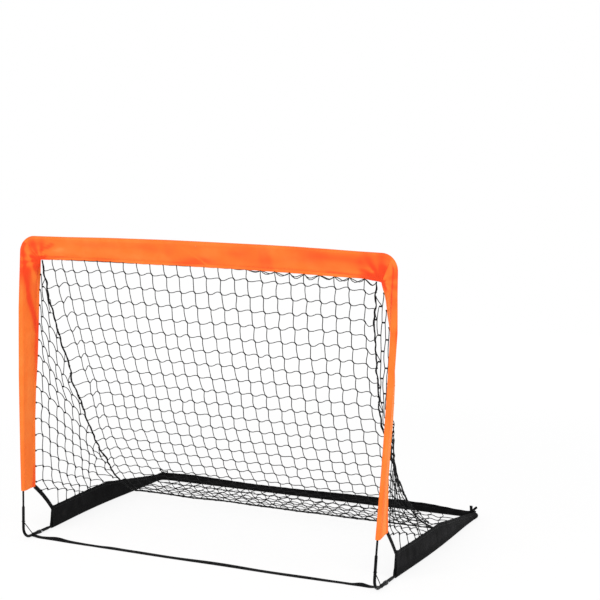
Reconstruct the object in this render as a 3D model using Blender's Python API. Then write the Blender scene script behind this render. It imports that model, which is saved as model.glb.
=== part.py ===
"""Folding soccer goal: shock-corded rods in fabric sleeves, bent tube elbows, netting and a fold-up base.

Metres, +Z up. The mouth faces -Y, the base runs back to +Y, and the floor is z = 0. The origin lies on
the floor under the middle of the goal. Left and right are seen from in front of the mouth.
"""

import math

import bmesh
import bpy
from mathutils import Matrix, Vector

# Overall size, between the axes of the rods
TOP_WIDTH = 1.207
FOOT_WIDTH = 1.146
REAR_WIDTH = 1.170
HEIGHT = 0.914
DEPTH = 0.825
SET_BACK = 0.070
RAIL_HEIGHT = 0.006

# Rods, tubes and the clearances between them
ROD_RADIUS = 0.0039
TUBE_RADIUS = 0.0048
ROD_CLEARANCE = 0.0003
SEAT_GAP = 0.0004
INSERT_LENGTH = 0.030
ROD_SIDES = 12
TUBE_SIDES = 8

# Bent tube elbows
FOOT_BEND = 0.031
FOOT_LEG_UP = 0.190
TOP_BEND = 0.042
TOP_LEG = 0.110
REAR_BEND = 0.036
REAR_LEG = 0.090
BEND_STEPS = 6

# Fabric sleeves round the rods
SLEEVE_BORE = 0.0052
SLEEVE_RADIUS = RAIL_HEIGHT
SLEEVE_SIDES = 10
HEM_THICKNESS = 0.0018
POST_WEB = 0.0640
CROSSBAR_WEB = 0.0740
CROSSBAR_WEB_TILT = math.radians(20)
INNER_CORNER_INSET = 0.0510
SLEEVE_FOOT = 0.150
SLEEVE_TURN = 0.110
SLEEVE_STEPS = 12
SLEEVE_HINGE_GAP = 0.0030
HEM_TO_CORNER = (0.55, 0.78, 0.92, 1.0)
WEB_TURN_TOP = math.radians(82)
WEB_TURN_FOOT = math.radians(0)

# Fold joint in the middle of the crossbar, in front of its rod
HINGE_OFFSET = 0.0075
KNUCKLE_RADIUS = 0.0024
KNUCKLE_MIDDLE = 0.0018
HINGE_PIN_RADIUS = 0.0012
LEAF_LENGTH = 0.032
LEAF_SOCKET = 0.020
LEAF_END_GAP = 0.0004
LUG_INSET = 0.0002

# Fold joint behind each foot
PIVOT_SETBACK = 0.088
EAR_RADIUS = 0.0046
FORK_WIDTH = 0.0090
SLOT_WIDTH = 0.0042
SLOT_DEPTH = 0.0052
FORK_ROOT = 0.0150
PLUG_LENGTH = 0.014
TONGUE_RADIUS = 0.0042
TONGUE_WIDTH = 0.0034
CUP_START = 0.0062
CUP_LENGTH = 0.034
CUP_FLOOR = 0.004
FOOT_PIN_RADIUS = 0.0015
PIN_HEAD_RADIUS = 0.0027
PIN_HEAD = 0.0008

# Ferrule in the middle of the rear rod
FERRULE_LEFT = 0.032
FERRULE_RIGHT = 0.012
FERRULE_CLEARANCE = 0.0004
ROD_END_GAP = 0.0006

# Side skirts and rear sleeve
SKIRT_START = 0.141
SKIRT_HEIGHT = 0.0650
SKIRT_TAPER_START = 0.480
SKIRT_LEAN = math.radians(2)
SKIRT_FRONT_SLANT = 0.36
REAR_WEB = 0.0145
BINDING_WIDTH = 0.012
BINDING_THICKNESS = 0.0026

# Straps and cords
STRAP_WIDTH = 0.018
STRAP_THICKNESS = 0.0015
STRAP_SETBACK = 0.0455
BRACE_WIDTH = 0.012
BRACE_THICKNESS = 0.0014
ELASTIC_RADIUS = 0.0014
ELASTIC_REACH = 0.0525
SEAM_CORD_RADIUS = 0.0022
TIE_RADIUS = 0.0016
TIE_BEND = 0.003

# Netting: the back hangs slack in this profile, as set-back and height of a cubic curve's points
NET_HANDLE_TOP = (0.150, 0.500)
NET_HANDLE_FLOOR = (0.330, 0.060)
NET_FLOOR_SETBACK = 0.655
NET_WAIST = 0.505
NET_CORD = 0.0030
NET_THICKNESS = 0.0024
NET_BORDER = 0.0034
NET_LIFT = 0.0026
JOINT_LENGTH = 0.016
CENTRE_GAP = 0.0004
SEAM_STEPS = 12
BACK_GAPS = (6, SEAM_STEPS)
SIDE_GAPS = (3, SEAM_STEPS - 1)
FLOOR_GAPS = (6, 2)
SIDE_NET_SETBACK = 0.600
SIDE_NET_INSET = 0.0028

LEFT, RIGHT = -1, 1
X_AXIS = Vector((1, 0, 0))
UP = Vector((0, 0, 1))
SHARP_ANGLE = math.radians(38)
TIE_TAILS = {
    LEFT: (Vector((0.020, 0.003, 0.004)), Vector((-0.004, -0.006, 0.010))),
    RIGHT: (Vector((-0.005, 0.002, 0.0135)), Vector((0.0225, -0.004, 0.0155))),
}


def at(x, setback, z):
    """A point given by its distance behind the goal line."""
    return Vector((x, setback - DEPTH / 2, z))


def foot(side):
    return at(side * FOOT_WIDTH / 2, 0, RAIL_HEIGHT)


def top(side):
    return at(side * TOP_WIDTH / 2, SET_BACK, HEIGHT)


def rear(side):
    return at(side * REAR_WIDTH / 2, DEPTH, RAIL_HEIGHT)


LEAN_UP = (at(0, SET_BACK, HEIGHT) - at(0, 0, RAIL_HEIGHT)).normalized()
LEAN_BACK = LEAN_UP.cross(X_AXIS)
CROSSBAR_MIDDLE = at(0, SET_BACK, HEIGHT)
HINGE_POINT = CROSSBAR_MIDDLE - LEAN_BACK * HINGE_OFFSET


def pivot(side):
    """The fold axis of the base, on the side rail behind the foot."""
    along = (rear(side) - foot(side)).normalized()
    return foot(side) + along * (PIVOT_SETBACK / along.y)


def move_to(point, target, distance):
    """The point that lies this far from one point towards another."""
    return point + (target - point).normalized() * distance


def spread(start, end, steps):
    """Evenly spaced values from a start to an end, both included."""
    return [start + (end - start) * k / steps for k in range(steps + 1)]


def smooth(value):
    value = min(max(value, 0.0), 1.0)
    return value * value * (3 - 2 * value)


def material(name, colour, roughness, metallic=0.0):
    made = bpy.data.materials.new(name)
    made.use_nodes = True
    shader = made.node_tree.nodes["Principled BSDF"]
    shader.inputs["Base Color"].default_value = (*colour, 1)
    shader.inputs["Roughness"].default_value = roughness
    shader.inputs["Metallic"].default_value = metallic
    made.diffuse_color = (*colour, 1)
    return made


def make_materials():
    return {
        "orange": material("orange_oxford", (0.95, 0.20, 0.03), 0.75),
        "black_cloth": material("black_oxford", (0.022, 0.022, 0.024), 0.8),
        "webbing": material("black_webbing", (0.012, 0.012, 0.013), 0.7),
        "net": material("net_twine", (0.03, 0.03, 0.032), 0.75),
        "cord": material("elastic_cord", (0.02, 0.02, 0.02), 0.7),
        "rod": material("glass_fibre_rod", (0.015, 0.015, 0.016), 0.45),
        "tube": material("black_coated_tube", (0.012, 0.012, 0.013), 0.35, 0.4),
        "steel": material("zinc_steel", (0.55, 0.56, 0.58), 0.35, 1.0),
    }


def empty(name, location, parent=None):
    made = bpy.data.objects.new(name, None)
    made.empty_display_size = 0.05
    bpy.context.collection.objects.link(made)
    made.parent = parent
    made.location = location - (parent.matrix_world.translation if parent else Vector())
    bpy.context.view_layer.update()
    return made


def add(name, mesh_data, finish, parent):
    """Makes an object of a bmesh in world places, with its origin on the parent's."""
    bmesh.ops.remove_doubles(mesh_data, verts=mesh_data.verts, dist=1e-7)
    bmesh.ops.recalc_face_normals(mesh_data, faces=mesh_data.faces)
    origin = parent.matrix_world.translation
    bmesh.ops.translate(mesh_data, verts=mesh_data.verts, vec=-origin)
    mesh = bpy.data.meshes.new(name)
    mesh_data.to_mesh(mesh)
    mesh_data.free()
    mesh.shade_smooth()
    mesh.set_sharp_from_angle(angle=SHARP_ANGLE)
    mesh.materials.append(finish)
    made = bpy.data.objects.new(name, mesh)
    bpy.context.collection.objects.link(made)
    made.parent = parent
    return made


def combine(made, operation, helper):
    """Adds or cuts a helper solid, which stays hidden in renders."""
    helper.hide_render = True
    helper.display_type = "WIRE"
    modifier = made.modifiers.new(helper.name, "BOOLEAN")
    modifier.operation = operation
    modifier.object = helper


def bend(start, corner, end, radius, steps=BEND_STEPS):
    """A path with one round bend: its start, the arc's points and its end."""
    one, two = (start - corner).normalized(), (end - corner).normalized()
    half = one.angle(two) / 2
    centre = corner + (one + two).normalized() * (radius / math.sin(half))
    spoke = corner + one * (radius / math.tan(half)) - centre
    axis = one.cross(two)
    turn = -(math.pi - 2 * half)
    arc = [centre + Matrix.Rotation(turn * k / steps, 3, axis) @ spoke for k in range(steps + 1)]
    return [start, *arc, end]


def tangents(path):
    found = []
    for k in range(len(path)):
        before, after = path[max(k - 1, 0)], path[min(k + 1, len(path) - 1)]
        found.append((after - before).normalized())
    return found


def circle(centre, along, across, radius, sides, phase=0.5):
    """The corners of a regular polygon round a point, square to a direction."""
    one = (across - along * across.dot(along)).normalized()
    two = along.cross(one)
    angles = [2 * math.pi * (k + phase) / sides for k in range(sides)]
    return [centre + one * (radius * math.cos(a)) + two * (radius * math.sin(a)) for a in angles]


def skin(data, rings):
    """Joins a list of closed rings of points into a wall, and returns their vertices."""
    rows = [[data.verts.new(point) for point in ring] for ring in rings]
    for one, two in zip(rows, rows[1:]):
        for k in range(len(one)):
            data.faces.new((one[k - 1], one[k], two[k], two[k - 1]))
    return rows


def rod_mesh(path, across, radius, sides=ROD_SIDES):
    """A solid round bar along a path."""
    data = bmesh.new()
    rings = [circle(p, t, across, radius, sides) for p, t in zip(path, tangents(path))]
    rows = skin(data, rings)
    data.faces.new(rows[0])
    data.faces.new(rows[-1])
    return data


def tube_mesh(path, across, radius, bore, sides=TUBE_SIDES):
    """An open tube along a path. Its bore's flats lie at the stated radius."""
    data = bmesh.new()
    steps = list(zip(path, tangents(path)))
    corner = bore / math.cos(math.pi / sides)
    outside = skin(data, [circle(p, t, across, radius, sides) for p, t in steps])
    inside = skin(data, [circle(p, t, across, corner, sides) for p, t in steps])
    for end in (0, -1):
        for k in range(sides):
            data.faces.new((outside[end][k - 1], outside[end][k], inside[end][k], inside[end][k - 1]))
    return data


def ribbon_mesh(path, widths, thickness):
    """A flat strap along a path: each width vector points from its middle to one edge."""
    data = bmesh.new()
    rings = []
    for point, along, width in zip(path, tangents(path), widths):
        thick = along.cross(width).normalized() * (thickness / 2)
        rings.append([point + width + thick, point - width + thick, point - width - thick, point + width - thick])
    rows = skin(data, rings)
    data.faces.new(rows[0])
    data.faces.new(rows[-1])
    return data


def sleeve_mesh(path, uprights, webs, first=None, last=None):
    """A fabric sleeve: a round casing for the rod, with a double web sewn shut beside it.

    Each station of the path has the direction that the casing's seam faces, and the vector from the
    rod's axis to the hem of the web. A mitred end is cut square to the direction given for it.
    """
    data = bmesh.new()
    directions = tangents(path)
    directions[0] = first or directions[0]
    directions[-1] = last or directions[-1]
    outer_corner = SLEEVE_RADIUS / math.cos(math.pi / SLEEVE_SIDES)
    inner_corner = SLEEVE_BORE / math.cos(math.pi / SLEEVE_SIDES)
    outer, inner, hems = [], [], []
    for point, along, upright, web in zip(path, directions, uprights, webs):
        outer.append([data.verts.new(c) for c in circle(point, along, upright, outer_corner, SLEEVE_SIDES)])
        inner.append([data.verts.new(c) for c in circle(point, along, upright, inner_corner, SLEEVE_SIDES)])
        thick = along.cross(web).normalized() * (HEM_THICKNESS / 2)
        hems.append([data.verts.new(point + web + thick), data.verts.new(point + web - thick)])
    last = SLEEVE_SIDES - 1
    for k in range(len(path) - 1):
        for j in range(last):
            data.faces.new((outer[k][j], outer[k][j + 1], outer[k + 1][j + 1], outer[k + 1][j]))
        for j in range(SLEEVE_SIDES):
            data.faces.new((inner[k][j - 1], inner[k][j], inner[k + 1][j], inner[k + 1][j - 1]))
        data.faces.new((outer[k][0], hems[k][0], hems[k + 1][0], outer[k + 1][0]))
        data.faces.new((outer[k][last], hems[k][1], hems[k + 1][1], outer[k + 1][last]))
        data.faces.new((hems[k][0], hems[k][1], hems[k + 1][1], hems[k + 1][0]))
    for end in (0, -1):
        for j in range(SLEEVE_SIDES):
            data.faces.new((outer[end][j - 1], outer[end][j], inner[end][j], inner[end][j - 1]))
        data.faces.new((outer[end][0], hems[end][0], hems[end][1], outer[end][last]))
    return data


def box_mesh(low, high, turn=None, place=None):
    data = bmesh.new()
    size = Vector([h - l for l, h in zip(low, high)])
    middle = Vector([(h + l) / 2 for l, h in zip(low, high)])
    bmesh.ops.create_cube(data, size=1, matrix=Matrix.Translation(middle) @ Matrix.Diagonal((*size, 1)))
    if turn is not None:
        bmesh.ops.transform(data, verts=data.verts, matrix=Matrix.Translation(place) @ turn.to_4x4())
    return data


def post_point(side, distance):
    """A point on the post's axis, measured up from the foot corner."""
    return move_to(foot(side), top(side), distance)


def post_length(side):
    return (top(side) - foot(side)).length


def inner_corner(side):
    """Where the hems of the post's and the crossbar's webs meet."""
    hem = crossbar_web(side)
    return top(side) + Vector((-side * INNER_CORNER_INSET, 0, 0)) + hem


def crossbar_web(side):
    return Vector((0, math.sin(CROSSBAR_WEB_TILT), -math.cos(CROSSBAR_WEB_TILT))) * CROSSBAR_WEB


def post_web(side, share):
    """The web points back at the foot, and turns inwards as it nears the top corner."""
    angle = WEB_TURN_FOOT + (WEB_TURN_TOP - WEB_TURN_FOOT) * share**4
    return Vector((-side * math.sin(angle), math.cos(angle), 0)) * POST_WEB


def top_elbow_path(side):
    down = move_to(top(side), foot(side), TOP_LEG)
    inward = top(side) - X_AXIS * (side * TOP_LEG)
    return bend(down, top(side), inward, TOP_BEND)


def foot_elbow_path(side):
    up = post_point(side, FOOT_LEG_UP)
    back = move_to(pivot(side), foot(side), FORK_ROOT)
    return bend(up, foot(side), back, FOOT_BEND)


def rear_elbow_path(side):
    forward = move_to(rear(side), foot(side), REAR_LEG)
    inward = rear(side) - X_AXIS * (side * REAR_LEG)
    return bend(forward, rear(side), inward, REAR_BEND)


def rods(name, side, parts, m):
    """The straight rods, each with its ends inside the elbows and ferrules."""
    frame, base = parts["frame"], parts["base"]
    length = post_length(side)
    post = [post_point(side, FOOT_LEG_UP - INSERT_LENGTH), post_point(side, length - TOP_LEG + INSERT_LENGTH)]
    add(f"post_rod_{name}", rod_mesh(post, X_AXIS, ROD_RADIUS), m["rod"], frame)
    outer = top(side) - X_AXIS * (side * (TOP_LEG - INSERT_LENGTH))
    inner = CROSSBAR_MIDDLE + X_AXIS * (side * (LEAF_LENGTH - LEAF_SOCKET + SEAT_GAP))
    add(f"crossbar_rod_{name}", rod_mesh([outer, inner], UP, ROD_RADIUS), m["rod"], frame)
    front = move_to(pivot(side), rear(side), CUP_START + CUP_FLOOR + SEAT_GAP)
    back = move_to(rear(side), foot(side), REAR_LEG - INSERT_LENGTH)
    add(f"side_rod_{name}", rod_mesh([front, back], UP, ROD_RADIUS), m["rod"], base)
    corner = rear(side) - X_AXIS * (side * (REAR_LEG - INSERT_LENGTH))
    middle = at(side * ROD_END_GAP, DEPTH, RAIL_HEIGHT)
    add(f"rear_rod_{name}", rod_mesh([corner, middle], UP, ROD_RADIUS), m["rod"], base)


def elbows(name, side, parts, m):
    bore = ROD_RADIUS + ROD_CLEARANCE
    for piece, path, parent in (
        (f"top_elbow_{name}", top_elbow_path(side), parts["frame"]),
        (f"foot_elbow_{name}", foot_elbow_path(side), parts["frame"]),
        (f"rear_elbow_{name}", rear_elbow_path(side), parts["base"]),
    ):
        across = (path[0] - path[3]).cross(path[-1] - path[3]).normalized()
        add(piece, tube_mesh(path, across, TUBE_RADIUS, bore), m["tube"], parent)


def crossbar_hinge(name, side, parts, m):
    """A leaf crimped on the crossbar rod, with knuckles round a pin in front of the sleeve's casing."""
    start = CROSSBAR_MIDDLE + X_AXIS * (side * LEAF_END_GAP)
    end = CROSSBAR_MIDDLE + X_AXIS * (side * LEAF_LENGTH)
    leaf = add(f"crossbar_hinge_{name}", rod_mesh([start, end], UP, TUBE_RADIUS), m["steel"], parts["frame"])
    spans = [(-KNUCKLE_MIDDLE, KNUCKLE_MIDDLE)]
    if side == RIGHT:
        edge = KNUCKLE_MIDDLE + SEAT_GAP
        spans = [(edge, TUBE_RADIUS), (-TUBE_RADIUS, -edge)]
    turn = Matrix((X_AXIS, LEAN_BACK, LEAN_UP)).transposed()
    for number, (low, high) in enumerate(spans):
        near, far = sorted((side * (LEAF_END_GAP + LUG_INSET), side * KNUCKLE_RADIUS))
        corners = (near, -HINGE_OFFSET, low + LUG_INSET), (far, -TUBE_RADIUS / 2, high - LUG_INSET)
        lug = box_mesh(*corners, turn, CROSSBAR_MIDDLE)
        combine(leaf, "UNION", add(f"lug_helper_{name}_{number}", lug, m["steel"], parts["frame"]))
        ends = [HINGE_POINT + LEAN_UP * low, HINGE_POINT + LEAN_UP * high]
        knuckle = rod_mesh(ends, X_AXIS, KNUCKLE_RADIUS, TUBE_SIDES)
        combine(leaf, "UNION", add(f"knuckle_helper_{name}_{number}", knuckle, m["steel"], parts["frame"]))
    hole = [HINGE_POINT - LEAN_UP * 2 * TUBE_RADIUS, HINGE_POINT + LEAN_UP * 2 * TUBE_RADIUS]
    clear = (HINGE_PIN_RADIUS + ROD_CLEARANCE) / math.cos(math.pi / TUBE_SIDES)
    drill = rod_mesh(hole, X_AXIS, clear, TUBE_SIDES)
    combine(leaf, "DIFFERENCE", add(f"drill_helper_{name}", drill, m["steel"], parts["frame"]))
    socket = [CROSSBAR_MIDDLE + X_AXIS * (side * (LEAF_LENGTH - LEAF_SOCKET)), end + X_AXIS * (side * INSERT_LENGTH)]
    bore = (ROD_RADIUS + ROD_CLEARANCE) / math.cos(math.pi / ROD_SIDES)
    cutter = rod_mesh(socket, UP, bore)
    combine(leaf, "DIFFERENCE", add(f"socket_helper_{name}", cutter, m["steel"], parts["frame"]))


def crossbar_hinge_pin(parent, m):
    ends = [HINGE_POINT - LEAN_UP * TUBE_RADIUS, HINGE_POINT + LEAN_UP * TUBE_RADIUS]
    add("crossbar_hinge_pin", rod_mesh(ends, X_AXIS, HINGE_PIN_RADIUS, TUBE_SIDES), m["steel"], parent)


def rounded_link(centre, radius, reach, width, steps=8):
    """A plate square to X with a half-round end round a pivot, and a flat end along the rail."""
    data = bmesh.new()
    towards = 1 if reach > 0 else -1
    outline = [(reach, -radius), (reach, radius)]
    for k in range(steps + 1):
        angle = math.pi / 2 + math.pi * k / steps
        outline.append((towards * radius * math.cos(angle), radius * math.sin(angle)))
    rings = []
    for x in (-width / 2, width / 2):
        rings.append([centre + Vector((x, y, z)) for y, z in outline])
    rows = skin(data, rings)
    data.faces.new(rows[0])
    data.faces.new(rows[1])
    return data


def foot_joint(name, side, parts, m):
    """The fork on the foot elbow, the eye on the side rod, and the pin through both."""
    centre = pivot(side)
    forward = (foot(side) - rear(side)).normalized()
    frame, base = parts["frame"], parts["base"]
    fork = add(f"foot_fork_{name}", rounded_link(centre, EAR_RADIUS, -FORK_ROOT + SEAT_GAP, FORK_WIDTH), m["tube"], frame)
    plug = rod_mesh([centre + forward * (FORK_ROOT / 2), centre + forward * (FORK_ROOT + PLUG_LENGTH)], UP, ROD_RADIUS)
    combine(fork, "UNION", add(f"plug_helper_{name}", plug, m["tube"], frame))
    slot = box_mesh((-SLOT_WIDTH / 2, -SLOT_DEPTH, -2 * EAR_RADIUS), (SLOT_WIDTH / 2, 2 * EAR_RADIUS, 2 * EAR_RADIUS))
    bmesh.ops.translate(slot, verts=slot.verts, vec=centre)
    combine(fork, "DIFFERENCE", add(f"slot_helper_{name}", slot, m["tube"], frame))

    tongue = rounded_link(centre, TONGUE_RADIUS, CUP_START + CUP_FLOOR / 2, TONGUE_WIDTH)
    eye = add(f"side_rod_eye_{name}", tongue, m["tube"], base)
    cup = rod_mesh([centre - forward * CUP_START, centre - forward * (CUP_START + CUP_LENGTH)], UP, TUBE_RADIUS)
    combine(eye, "UNION", add(f"cup_helper_{name}", cup, m["tube"], base))
    bore = (ROD_RADIUS + ROD_CLEARANCE) / math.cos(math.pi / ROD_SIDES)
    socket = [centre - forward * (CUP_START + CUP_FLOOR), centre - forward * (CUP_START + 2 * CUP_LENGTH)]
    combine(eye, "DIFFERENCE", add(f"cup_bore_helper_{name}", rod_mesh(socket, UP, bore), m["tube"], base))

    clear = (FOOT_PIN_RADIUS + ROD_CLEARANCE) / math.cos(math.pi / TUBE_SIDES)
    for piece, holder in ((fork, frame), (eye, base)):
        through = [centre - X_AXIS * FORK_WIDTH, centre + X_AXIS * FORK_WIDTH]
        drill = rod_mesh(through, UP, clear, TUBE_SIDES)
        combine(piece, "DIFFERENCE", add(f"pin_hole_helper_{piece.name}", drill, m["tube"], holder))
    inside = FORK_WIDTH / 2 + SEAT_GAP
    profile = [(-inside - PIN_HEAD, PIN_HEAD_RADIUS), (-inside, PIN_HEAD_RADIUS), (-inside, FOOT_PIN_RADIUS)]
    profile += [(-x, radius) for x, radius in reversed(profile)]
    data = bmesh.new()
    rows = skin(data, [circle(centre + X_AXIS * x, X_AXIS, UP, r, TUBE_SIDES) for x, r in profile])
    data.faces.new(rows[0])
    data.faces.new(rows[-1])
    add(f"foot_pin_{name}", data, m["steel"], frame)


def rear_ferrule(parent, m):
    """A tube crimped on the left half of the rear rod, which the right half pushes into."""
    path = [at(-FERRULE_LEFT, DEPTH, RAIL_HEIGHT), at(FERRULE_RIGHT, DEPTH, RAIL_HEIGHT)]
    data = tube_mesh(path, UP, TUBE_RADIUS, ROD_RADIUS + FERRULE_CLEARANCE)
    add("rear_ferrule", data, m["steel"], parent)


def frame_sleeves(name, side, parent, m):
    """The orange sleeves of one post and half the crossbar, mitred at the top corner."""
    arc = top_elbow_path(side)[1:-1]
    middle = len(arc) // 2
    cut = (arc[middle + 1] - arc[middle - 1]).normalized()
    corner = inner_corner(side)

    straight = spread(SLEEVE_FOOT, post_length(side) - SLEEVE_TURN, SLEEVE_STEPS)
    path = [post_point(side, distance) for distance in straight]
    hems = [p + post_web(side, (p - foot(side)).length / post_length(side)) for p in path]
    path += arc[: middle + 1]
    hems += [hems[-1].lerp(corner, share) for share in HEM_TO_CORNER]
    webs = [hem - point for hem, point in zip(hems, path)]
    path[-1] = path[-1] - cut * (SEAT_GAP / 2)
    sleeve = sleeve_mesh(path, webs, webs, last=cut)
    add(f"post_sleeve_{name}", sleeve, m["orange"], parent)

    straight = spread(TOP_WIDTH / 2 - SLEEVE_TURN, SLEEVE_HINGE_GAP, SLEEVE_STEPS)
    path = [at(side * x, SET_BACK, HEIGHT) for x in straight]
    hems = [point + crossbar_web(side) for point in path]
    path = arc[middle:] + path
    hems = [hems[0].lerp(corner, share) for share in reversed(HEM_TO_CORNER)] + hems
    webs = [hem - point for hem, point in zip(hems, path)]
    path[0] = path[0] + cut * (SEAT_GAP / 2)
    sleeve = sleeve_mesh(path, webs, webs, first=cut)
    add(f"crossbar_sleeve_{name}", sleeve, m["orange"], parent)


def skirt_height(setback):
    """Full height to the taper, then a straight run down to the rear sleeve's height."""
    share = (setback - SKIRT_TAPER_START) / (DEPTH - SKIRT_TAPER_START)
    return SKIRT_HEIGHT - (SKIRT_HEIGHT - REAR_WEB) * min(max(share, 0), 1)


def skirt_web(side, setback):
    height = skirt_height(setback)
    slant = SKIRT_FRONT_SLANT * (1 - smooth((setback - SKIRT_START - 2 * BINDING_WIDTH) / 0.12))
    return Vector((-side * math.tan(SKIRT_LEAN), slant, 1)) * height


def rail_point(side, setback):
    along = (rear(side) - foot(side)).normalized()
    return foot(side) + along * (setback / along.y)


def base_sleeves(name, side, parent, m):
    """The black side skirt and half of the rear sleeve, mitred at the rear corner."""
    arc = rear_elbow_path(side)[1:-1]
    middle = len(arc) // 2
    cut = (arc[middle + 1] - arc[middle - 1]).normalized()
    setbacks = [SKIRT_START + BINDING_WIDTH + SEAT_GAP, 0.20, 0.26, 0.37, SKIRT_TAPER_START, 0.60, 0.70]
    path = [rail_point(side, s) for s in setbacks] + arc[: middle + 1]
    webs = [skirt_web(side, point.y + DEPTH / 2) for point in path]
    corner = webs[-1]
    path[-1] = path[-1] - cut * (SEAT_GAP / 2)
    skirt = sleeve_mesh(path, [UP] * len(path), webs, last=cut)
    add(f"side_skirt_{name}", skirt, m["black_cloth"], parent)

    path = arc[middle:] + [at(side * x, DEPTH, RAIL_HEIGHT) for x in (0.40, 0.20, CENTRE_GAP)]
    webs = [corner.lerp(UP * REAR_WEB, smooth(k / (len(arc) - middle))) for k in range(len(path))]
    path[0] = path[0] + cut * (SEAT_GAP / 2)
    sleeve = sleeve_mesh(path, [UP] * len(path), webs, first=cut)
    add(f"rear_sleeve_{name}", sleeve, m["black_cloth"], parent)


def skirt_binding(name, side, parent, m):
    """The tape over the skirt's front edge, from the casing to the skirt's top corner."""
    web = skirt_web(side, SKIRT_START)
    root = rail_point(side, SKIRT_START + BINDING_WIDTH / 2)
    path = [root + UP * (SLEEVE_RADIUS + SEAT_GAP), root + web]
    width = Vector((0, BINDING_WIDTH / 2, 0))
    add(f"skirt_binding_{name}", ribbon_mesh(path, [width] * 2, BINDING_THICKNESS), m["webbing"], parent)


def corner_brace(name, side, parent, m):
    """The webbing from the bottom corner of the post's web to the top front corner of the skirt."""
    across = Vector((0, BRACE_WIDTH * 0.6, 0))
    start = post_point(side, SLEEVE_FOOT) + post_web(side, 0) - across - UP * SEAT_GAP
    web = skirt_web(side, SKIRT_START)
    edge = web - UP * (SLEEVE_RADIUS + SEAT_GAP)
    down = edge.normalized() * (BRACE_WIDTH * 0.6)
    end = rail_point(side, SKIRT_START - SEAT_GAP) + web - down
    ribbon = ribbon_mesh([start, end], [-across, -down], BRACE_THICKNESS)
    add(f"corner_brace_{name}", ribbon, m["webbing"], parent)


def ground_strap(name, side, parent, m):
    """Half of the webbing between the feet. It lies flat, and rises to the foot elbow."""
    tube = rail_point(side, STRAP_SETBACK)
    edge = abs(tube.x) - TUBE_RADIUS - SEAT_GAP
    rise = ((edge, 0.0058), (edge - 0.012, 0.0036), (edge - 0.03, 0.0012), (edge - 0.06, 0.0))
    path = [at(side * x, STRAP_SETBACK, z + STRAP_THICKNESS / 2) for x, z in rise]
    path.append(at(side * CENTRE_GAP, STRAP_SETBACK - 0.004, STRAP_THICKNESS / 2))
    widths = [Vector((0, STRAP_WIDTH / 2, 0))] * len(path)
    add(f"ground_strap_{name}", ribbon_mesh(path, widths, STRAP_THICKNESS), m["webbing"], parent)


def elbow_elastic(name, side, parent, m):
    """The elastic cord drawn across the inside of the foot elbow."""
    one = post_point(side, ELASTIC_REACH)
    two = rail_point(side, ELASTIC_REACH)
    flat = TUBE_RADIUS * math.cos(math.pi / TUBE_SIDES)
    room = (flat + SEAT_GAP) * math.sqrt(2) + ELASTIC_RADIUS
    path = [move_to(one, two, room), move_to(two, one, room)]
    add(f"elbow_elastic_{name}", rod_mesh(path, X_AXIS, ELASTIC_RADIUS, 6), m["cord"], parent)


def corner_tie(name, side, parent, m):
    """The two tails of the elastic that ties the skirt to the rear corner."""
    arc = rear_elbow_path(side)[1:-1]
    corner = arc[len(arc) // 2]
    hem = corner + skirt_web(side, corner.y + DEPTH / 2)
    one, two = TIE_TAILS[side]
    half = one.angle(two) / 2
    upright = (one.normalized() + two.normalized()).normalized()
    root = hem + UP * (TIE_RADIUS + SEAT_GAP) - upright * (TIE_BEND / math.sin(half) - TIE_BEND)
    path = bend(root + one, root, root + two, TIE_BEND, 3)
    add(f"corner_tie_{name}", rod_mesh(path, one.cross(two).normalized(), TIE_RADIUS, 6), m["cord"], parent)


def net_profile(share):
    """Set-back and height of the hanging net, from the crossbar's hem at 0 to the floor at 1."""
    start = inner_corner(RIGHT) + Vector((0, 0.0003, -0.0022))
    points = [(start.y + DEPTH / 2, start.z), NET_HANDLE_TOP, NET_HANDLE_FLOOR, (NET_FLOOR_SETBACK, NET_LIFT)]
    rest = 1 - share
    factors = (rest**3, 3 * rest**2 * share, 3 * rest * share**2, share**3)
    return [sum(f * p[k] for f, p in zip(factors, points)) for k in (0, 1)]


def seam_point(side, share):
    """The cord that joins the back net to the side net, straight between its steps."""
    step = min(int(share * SEAM_STEPS + 1e-6), SEAM_STEPS - 1)
    one, two = seam_curve(side, step / SEAM_STEPS), seam_curve(side, (step + 1) / SEAM_STEPS)
    return one.lerp(two, share * SEAM_STEPS - step)


def seam_curve(side, share):
    setback, height = net_profile(share)
    corner = abs(inner_corner(side).x) - 0.0040
    rail = abs(rail_point(side, NET_FLOOR_SETBACK).x) - 0.0130
    x = NET_WAIST + (corner - NET_WAIST) * (1 - share) ** 14 + (rail - NET_WAIST) * share**4
    return at(side * x, setback, height)


def back_surface(side):
    def place(u, v):
        edge = seam_point(side, v)
        inside = abs(edge.x) - SEAM_CORD_RADIUS - SEAT_GAP
        return Vector((side * (CENTRE_GAP + (inside - CENTRE_GAP) * u), edge.y, edge.z))

    return place


def side_edge(side, share):
    """The front and lower edge of the side net: down the post's hem, the brace and the skirt's top."""
    length = post_length(side)
    high, low = 0.86 * length, SLEEVE_FOOT + 0.012
    if share < 0.56:
        distance = high + (low - high) * share / 0.56
        point = post_point(side, distance) + post_web(side, distance / length) * 1.065
        return point.lerp(inner_corner(side), 0.2 * (1 - smooth(share / 0.15)))
    start = SKIRT_START + BINDING_WIDTH
    if share < 0.66:
        one = side_edge(side, 0.5599)
        return one.lerp(side_edge(side, 0.66), (share - 0.56) / 0.10)
    setback = start + (SIDE_NET_SETBACK - start) * (share - 0.66) / 0.34
    web = skirt_web(side, setback)
    return rail_point(side, setback) + web - X_AXIS * (side * SIDE_NET_INSET)


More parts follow.
